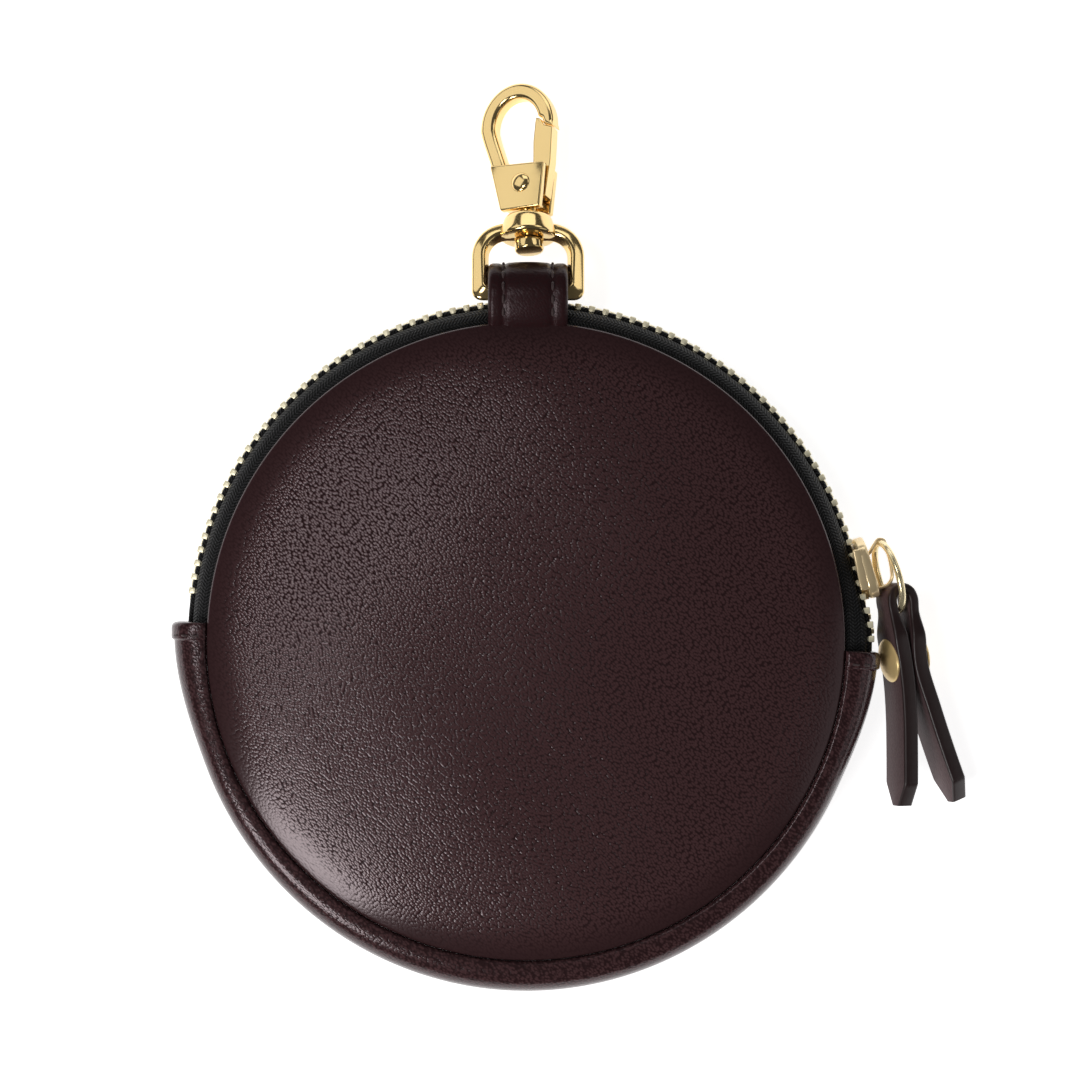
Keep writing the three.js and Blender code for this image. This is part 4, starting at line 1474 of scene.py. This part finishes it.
@dataclass
class HangerLoop:
    """Stitched leather loop that holds the clip's ring at the top of the pouch."""

    leather: bpy.types.Material
    thread: bpy.types.Material
    centre: float = 0.3
    half_width: float = 6.0
    wall: float = 1.6
    seam_inset: float = 2.3
    pillow: float = 0.22
    groove: float = 0.2
    groove_width: float = 0.45
    stitch_sink: float = 0.12
    plain_ends: int = 5
    stitch: Stitch = Stitch(pitch=2.0, length=1.5, thread=0.42)
    # Place along Y and height, from the front seam round to the back seam
    rows: Rows = (
        (47.3, 12.9), (48.2, 13.85), (49.8, 14.7), (52.2, 15.2), (54.5, 14.4), (55.8, 12.3),
        (56.0, 9.4), (55.2, 6.4), (53.3, 3.9), (50.8, 2.7), (47.95, 2.55),
    )

    def path(self) -> tuple[np.ndarray, np.ndarray]:
        """Middle line of the loop and its outward direction.

        Returns:
            Points, and a unit vector at each.
        """
        rows = smooth_rows(self.rows, 0.3)
        points = np.column_stack([np.full(len(rows), self.centre), rows])
        run = np.gradient(rows, axis=0)
        run /= np.linalg.norm(run, axis=1)[:, None]
        outward = np.column_stack([np.zeros(len(rows)), -run[:, 1], run[:, 0]])
        return points, outward

    def band(self) -> bpy.types.Object:
        """Leather band that swells between its two seams.

        Returns:
            The band.
        """
        points, outward = self.path()
        side = self.half_width - self.wall / 2
        across = np.linspace(-side, side, 49)
        top = np.column_stack([across, self.wall / 2 + self.swell(across)])
        right = arc((side, 0.0), self.wall / 2, 75.0, -75.0, 8)
        bottom = np.column_stack([[side, -side], [-self.wall / 2, -self.wall / 2]])
        left = arc((-side, 0.0), self.wall / 2, 255.0, 105.0, 8)
        section = np.vstack([top, right, bottom, left])
        level = np.array([1.0, 0.0, 0.0])
        rings = [point + section[:, :1] * level + section[:, 1:] * out for point, out in zip(points, outward)]
        form = Form()
        form.loft(np.array(rings))
        piece = form.made("hanger_loop_leather", self.leather, sharp=60)
        return settle(piece, Body.POUCH, Slot.PANEL_LEATHER, "hanger_loop")

    def swell(self, across: np.ndarray) -> np.ndarray:
        """How far the loop's face stands out.

        Args:
            across: Places across its width.

        Returns:
            The height at each place: a pillow between two stitched grooves.
        """
        seam = self.half_width - self.seam_inset
        pillow = self.pillow * np.clip(1 - (across / seam) ** 2, 0.0, 1.0)
        groove = self.groove * np.exp(-(((np.abs(across) - seam) / self.groove_width) ** 2))
        return pillow - groove

    def seams(self) -> bpy.types.Object:
        """Two rows of stitches along the loop's edges.

        Returns:
            Both rows as one piece.
        """
        points, outward = self.path()
        sewn = slice(self.plain_ends, -self.plain_ends)
        form = Form()
        for sign in (-1, 1):
            shift = np.array([sign * (self.half_width - self.seam_inset), 0.0, 0.0])
            path = points + outward * (self.wall / 2 - self.stitch_sink) + shift
            stitches(form, path[sewn], outward[sewn], self.stitch)
        return settle(form.made("hanger_loop_stitches", self.thread), Body.POUCH, Slot.PANEL_LEATHER)

    def build(self) -> list[bpy.types.Object]:
        """Builds the loop's pieces."""
        return [self.band(), self.seams()]


@dataclass
class SwivelClip:
    """Gold ring with a swivel collar, and the sprung hook that turns in it."""

    gold: bpy.types.Material
    bar: tuple[float, float, float] = (0.3, 52.2, 12.0)
    slope: float = 17.2
    ring_half_width: float = 8.3
    ring_side: float = 2.2
    ring_bottom: float = -1.0
    ring_top: float = 11.0
    ring_half_thickness: float = 1.2
    ring_dish: float = 22.0
    ring_edge: float = 0.6
    top_corner: float = 5.2
    bottom_corner: float = 1.4
    inner_corner: float = 0.5
    collar_at: float = 10.8
    # Radius and place along the stem
    collar_rows: Rows = (
        (1.85, -1.95), (3.7, -1.98), (4.15, -1.9), (4.3, -1.65), (4.28, -1.35), (4.15, -0.7),
        (3.95, 0.1), (3.75, 0.8), (3.6, 1.15), (3.4, 1.33), (3.1, 1.4), (1.85, 1.4),
    )
    lean: float = 3.0
    twist: float = 24.0
    # Radius and place along the stem, from the peened head up
    stem_rows: Rows = (
        (0.0, -4.1), (1.75, -4.1), (2.0, -4.03), (2.15, -3.88), (2.2, -3.7), (2.2, -2.5),
        (2.05, -2.3), (1.5, -2.3), (1.5, 3.2), (0.0, 3.2),
    )
    plate_inner: float = 1.4
    plate_outer: float = 2.75
    # Corners and points of the hook's plates: across and along the hook
    base_corners: Rows = ((-4.65, 9.95), (-3.35, 2.35), (3.1, 1.9), (4.3, 8.9))
    spine_corners: Rows = ((-4.3, 9.4), (-3.05, 2.7), (-1.9, 2.7), (-2.5, 9.4))
    floor_corners: Rows = ((-2.9, 2.7), (2.5, 2.7), (2.5, 3.7), (-2.9, 3.7))
    filler_sink: float = 0.3
    hook_half_thickness: float = 1.4
    hook_edge: float = 0.7
    eye_centre: float = 16.3
    eye_outer: float = 6.1
    eye_inner: float = 3.6
    eye_stretch: float = 0.8
    eye_shift: float = -0.5
    shift_from: float = 9.0
    arm_foot: tuple[float, float, float] = (-4.85, -2.35, 8.9)
    lip_angle: float = 11.0
    notch: Rows = ((4.15, 16.7), (4.45, 15.75))
    heel: tuple[float, float] = (5.85, 15.05)
    heel_angle: float = -11.0
    gate_pivot: tuple[float, float] = (0.3, 6.2)
    gate_half_thickness: float = 1.1
    gate_edge: Rows = (
        (3.25, 16.95), (4.0, 16.55), (4.3, 15.6), (5.8, 14.85), (4.75, 9.5), (3.6, 4.1), (2.4, 3.9),
    )
    gate_inner_edge: Rows = ((1.85, 9.7), (2.35, 13.0), (3.1, 16.4))
    gate_hub: float = 1.9
    gate_rim: float = 0.15
    gate_sharp: float = 12.0
    rivet_head: float = 1.5
    rivet_rise: float = 0.5
    rivet_shaft: float = 0.9

    def clip_frame(self) -> Matrix:
        """Placing of the ring's own frame."""
        return Matrix.Translation(self.bar) @ Matrix.Rotation(math.radians(-self.slope), 4, "X")

    def hook_frame(self) -> Matrix:
        """Placing of the hook's own frame.

        Returns:
            The placing, at the ring's collar.
        """
        lean = Matrix.Rotation(math.radians(self.lean), 4, "Z")
        twist = Matrix.Rotation(math.radians(-self.twist), 4, "Y")
        return self.clip_frame() @ Matrix.Translation((0.0, self.collar_at, 0.0)) @ lean @ twist

    def ring_rail(self, inset: float, top_corner: float, bottom_corner: float) -> np.ndarray:
        """Outline of the ring at an inset from its outer edge.

        Args:
            inset: Distance in from the outer edge.
            top_corner: Radius of the upper corners.
            bottom_corner: Radius of the lower corners.

        Returns:
            Points of the outline, counter-clockwise.
        """
        wide, low, high = self.ring_half_width - inset, self.ring_bottom + inset, self.ring_top - inset
        corners = [
            (wide - bottom_corner, low + bottom_corner, bottom_corner, -90),
            (wide - top_corner, high - top_corner, top_corner, 0),
            (-wide + top_corner, high - top_corner, top_corner, 90),
            (-wide + bottom_corner, low + bottom_corner, bottom_corner, 180),
        ]
        return np.vstack([arc((x, y), radius, start, start + 90, 10) for x, y, radius, start in corners])

    def ring(self) -> bpy.types.Object:
        """Ring whose top bar carries the swivel collar.

        Returns:
            The ring as one skin.
        """
        outer = self.ring_rail(0.0, self.top_corner, self.bottom_corner)
        inner = self.ring_rail(self.ring_side, self.top_corner - self.ring_side, self.inner_corner)
        bar = Form()
        bar.between(inner, outer, self.ring_half_thickness, self.ring_edge, closed=True, dish=self.ring_dish)
        collar = Form()
        profile = smooth_rows(self.collar_rows, 0.25)
        collar.lathe(profile, 64)
        upright = Matrix.Translation((0.0, self.collar_at, 0.0)) @ Matrix.Rotation(-math.pi / 2, 4, "X")
        collar.place(upright)
        parts = [part.place(self.clip_frame()) for part in (collar, bar)]
        piece = fused("swivel_ring", parts, self.gold)
        return settle(piece, Body.CLIP_RING, Slot.GOLD, "clip_ring")

    def arm(self) -> Form:
        """Flat bar from the base's left side round the eye to the nose.

        Returns:
            The bar.
        """
        centre = (0.0, self.eye_centre)
        left, right, foot = self.arm_foot
        lip = arc(centre, self.eye_inner, self.lip_angle, self.lip_angle, 1)[0]
        inner = np.vstack([
            line((right, foot), (-self.eye_inner, self.eye_centre), 6)[:-1],
            arc(centre, self.eye_inner, 180.0, self.lip_angle, 40)[:-1],
            line(lip, self.notch[0], 4)[:-1],
            line(self.notch[0], self.notch[1], 4)[:-1],
            line(self.notch[1], self.heel, 4),
        ])
        outer = np.vstack([
            line((left, foot), (-self.eye_outer, self.eye_centre), 6)[:-1],
            arc(centre, self.eye_outer, 180.0, self.lip_angle, 40)[:-1],
            arc(centre, self.eye_outer, self.lip_angle, self.heel_angle, 12),
        ])
        for rail, radius in ((inner, self.eye_inner), (outer, self.eye_outer)):
            above = np.clip(rail[:, 1] - self.eye_centre, 0.0, None)
            rail[:, 1] += above * self.eye_stretch / radius
        form = Form()
        form.between(self.shifted(inner), self.shifted(outer), self.hook_half_thickness, self.hook_edge)
        return form

    def shifted(self, outline: np.ndarray) -> np.ndarray:
        """Outline whose upper part is set over to the side with the eye."""
        over = self.eye_shift * smooth_step(outline[:, 1], self.shift_from, self.eye_centre)
        return outline + np.column_stack([over, np.zeros(len(outline))])

    def hook(self) -> bpy.types.Object:
        """Hook with its base plates, stem and eye.

        Returns:
            The hook as one skin.
        """
        parts = []
        outline = rounded_polygon(self.base_corners, 0.35)
        for low, high in ((-self.plate_outer, -self.plate_inner), (self.plate_inner, self.plate_outer)):
            plate = Form()
            plate.plate(outline, low, high, 0.28)
            parts.append(plate)
        depth = self.plate_inner + self.filler_sink
        for corners in (self.spine_corners, self.floor_corners):
            filler = Form()
            filler.plate(rounded_polygon(corners, 0.2), -depth, depth, 0.05)
            parts.append(filler)
        stem = Form()
        stem.lathe(self.stem_rows, 40)
        parts.append(stem.place(Matrix.Rotation(-math.pi / 2, 4, "X")))
        parts.append(self.arm())
        piece = fused("hook", [part.place(self.hook_frame()) for part in parts], self.gold)
        return settle(piece, Body.HOOK, Slot.GOLD, "hook_body")

    def gate(self) -> bpy.types.Object:
        """Sprung gate that closes the hook against its nose.

        Returns:
            The gate.
        """
        hub = arc(self.gate_pivot, self.gate_hub, -70.0, -230.0, 14)
        corners = np.vstack([self.gate_edge, hub, self.gate_inner_edge])
        outline = self.shifted(rounded_polygon(corners[::-1], self.gate_rim, 3))
        form = Form()
        form.plate(outline, -self.gate_half_thickness, self.gate_half_thickness, self.gate_rim)
        form.place(self.hook_frame())
        return settle(form.made("gate", self.gold, sharp=self.gate_sharp), Body.GATE, Slot.GOLD, "hook_gate")

    def rivet(self) -> bpy.types.Object:
        """Rivet that the gate turns on, with a low head on each plate.

        Returns:
            The rivet.
        """
        head = arc((0.0, 0.0), 1.0, 0.0, 90.0, 6)
        rim = [(radius * self.rivet_head, self.plate_outer + rise * self.rivet_rise) for radius, rise in head]
        lower = [(radius, -height) for radius, height in reversed(rim)]
        shaft = [(self.rivet_shaft, -self.plate_outer), (self.rivet_shaft, self.plate_outer)]
        form = Form()
        form.lathe([*lower, *shaft, *rim], 40)
        form.place(self.hook_frame() @ Matrix.Translation((*self.gate_pivot, 0.0)))
        return settle(form.made("gate_rivet_heads", self.gold), Body.HOOK, Slot.GOLD, "gate_rivet")

    def build(self) -> list[bpy.types.Object]:
        """Builds the clip's pieces."""
        return [self.ring(), self.hook(), self.gate(), self.rivet()]


@dataclass(frozen=True)
class SoftBox:
    """Rectangular studio light that points at a spot near the table. Its lengths are metres."""

    name: str
    place: tuple[float, float, float]
    aim: tuple[float, float, float]
    size: tuple[float, float]
    power: float
    metal_only: bool = False

    def build(self, metal: bpy.types.Collection) -> None:
        """Adds the light to the scene.

        Args:
            metal: Pieces that a light for the metal alone falls on.
        """
        lamp = bpy.data.lights.new(self.name, "AREA")
        lamp.shape = "RECTANGLE"
        lamp.size, lamp.size_y = self.size
        lamp.energy = self.power
        holder = bpy.data.objects.new(self.name, lamp)
        holder.location = self.place
        direction = Vector(self.aim) - Vector(self.place)
        holder.rotation_euler = direction.to_track_quat("-Z", "Y").to_euler()
        bpy.context.scene.collection.objects.link(holder)
        if self.metal_only:
            holder.light_linking.receiver_collection = metal


@dataclass
class Studio:
    """White table, soft boxes and the camera straight above the pouch. Its lengths are metres."""

    floor: bpy.types.Material
    metal_pieces: Sequence[bpy.types.Object]
    aim: tuple[float, float] = (0.0021, 0.01515)
    seam_height: float = 0.0135
    distance: float = 0.6
    view_width: float = 0.162
    sensor: float = 36.0
    floor_half: float = 30.0
    floor_drop: float = 0.0002
    clip: tuple[float, float] = (0.05, 100.0)
    sky: float = 0.05
    boxes: Sequence[SoftBox] = field(default_factory=lambda: (
        SoftBox("key_low_left", (-0.434, -0.449, 0.647), (0.0, 0.0, 0.0), (0.30, 0.30), 3.3),
        SoftBox("left_sheen", (-0.345, 0.11, 0.932), (0.0, 0.0, 0.0), (0.21, 0.21), 1.35),
        SoftBox("left_back", (-0.569, 0.455, 0.424), (0.0, 0.078, 0.005), (0.5, 0.5), 0.70, True),
        SoftBox("right_back", (0.55, 0.50, 0.53), (0.0, 0.06, 0.005), (0.4, 0.4), 0.52, True),
        SoftBox("right_fill", (0.64, -0.16, 0.36), (0.0, 0.0, 0.005), (0.4, 0.4), 0.26),
        SoftBox("back", (0.0, 0.84, 0.42), (0.0, 0.06, 0.01), (0.8, 0.4), 1.3, True),
    ))

    def table(self) -> None:
        """Adds the white table."""
        half = self.floor_half
        mesh = bpy.data.meshes.new("table")
        corners = [(-half, -half, 0.0), (half, -half, 0.0), (half, half, 0.0), (-half, half, 0.0)]
        mesh.from_pydata(corners, [], [(0, 1, 2, 3)])
        mesh.materials.append(self.floor)
        table = bpy.data.objects.new("table", mesh)
        table.location.z = -self.floor_drop
        bpy.context.scene.collection.objects.link(table)

    def camera(self) -> None:
        """Adds the camera at the picture's angle."""
        lens = bpy.data.cameras.new("camera")
        lens.sensor_width = self.sensor
        lens.lens = self.sensor * self.distance / self.view_width
        lens.clip_start, lens.clip_end = self.clip
        holder = bpy.data.objects.new("camera", lens)
        holder.location = (*self.aim, self.seam_height + self.distance)
        bpy.context.scene.collection.objects.link(holder)
        bpy.context.scene.camera = holder

    def light(self) -> None:
        """Adds the sky and the soft boxes."""
        world = bpy.data.worlds.new("studio")
        world.use_nodes = True
        backdrop = world.node_tree.nodes["Background"]
        backdrop.inputs["Color"].default_value = (1.0, 1.0, 1.0, 1.0)
        backdrop.inputs["Strength"].default_value = self.sky
        bpy.context.scene.world = world
        metal = bpy.data.collections.new("metal_pieces")
        for piece in self.metal_pieces:
            metal.objects.link(piece)
        for box in self.boxes:
            box.build(metal)
        bpy.context.scene.view_settings.view_transform = "Standard"

    def build(self) -> None:
        """Builds the studio."""
        self.table()
        self.camera()
        self.light()


def main() -> None:
    """Builds every piece of the pouch and the studio round it."""
    logging.basicConfig(level=logging.INFO, format="%(name)s: %(message)s")
    panel_leather = LeatherFinish("panel_leather", flat=True, smooth_from=41.8, smooth_to=47.6).material()
    gusset_leather = LeatherFinish("gusset_leather", depth=0.03).material()
    strap_leather = LeatherFinish(
        "strap_leather",
        colour=(0.110, 0.068, 0.070, 1.0),
        painted_shade_and_patch_colour=(0.092, 0.056, 0.058, 1.0),
        shine=0.08,
        depth=0.02,
        roughness=0.36,
    ).material()
    loop_leather = LeatherFinish(
        "loop_leather", colour=(0.034, 0.0105, 0.0120, 1.0), shine=0.3, depth=0.03, roughness=0.33
    ).material()
    edge_paint = EdgePaint("edge_paint").material()
    thread = ThreadFinish("leather_thread").material()
    tape = TapeFinish("zip_tape_cloth").material()
    gold = GoldFinish("gold_plate").material()
    pale_gold = GoldFinish(
        "pale_gold_plate", colour=(1.0, 0.87, 0.56, 1.0), roughness=0.2, metallic=0.75
    ).material()
    slider_gold = GoldFinish(
        "slider_gold_plate", colour=(1.0, 0.80, 0.49, 1.0), roughness=0.22, metallic=0.62
    ).material()
    rivet_gold = GoldFinish(
        "rivet_gold_plate", colour=(1.0, 0.74, 0.34, 1.0), roughness=0.3, metallic=0.5
    ).material()
    tooth_metal = GoldFinish(
        "tooth_metal", colour=(1.0, 0.94, 0.70, 1.0), roughness=0.42, metallic=0.5
    ).material()
    assemblies = (
        PouchBody(panel_leather, gusset_leather, thread),
        ZipFastener(tape, tooth_metal, slider_gold),
        ZipPull(strap_leather, edge_paint, pale_gold, rivet_gold),
        HangerLoop(loop_leather, thread),
        SwivelClip(gold),
    )
    metals = (gold, pale_gold, slider_gold, rivet_gold, tooth_metal)
    metal_pieces = []
    for assembly in assemblies:
        for piece in assembly.build():
            if piece.data.materials[0] in metals:
                metal_pieces.append(piece)
            LOG.info("%s: %s with %d faces", type(assembly).__name__, piece.name, len(piece.data.polygons))
    Studio(FloorFinish("white_table").material(), metal_pieces).build()


if __name__ == "__main__":
    main()
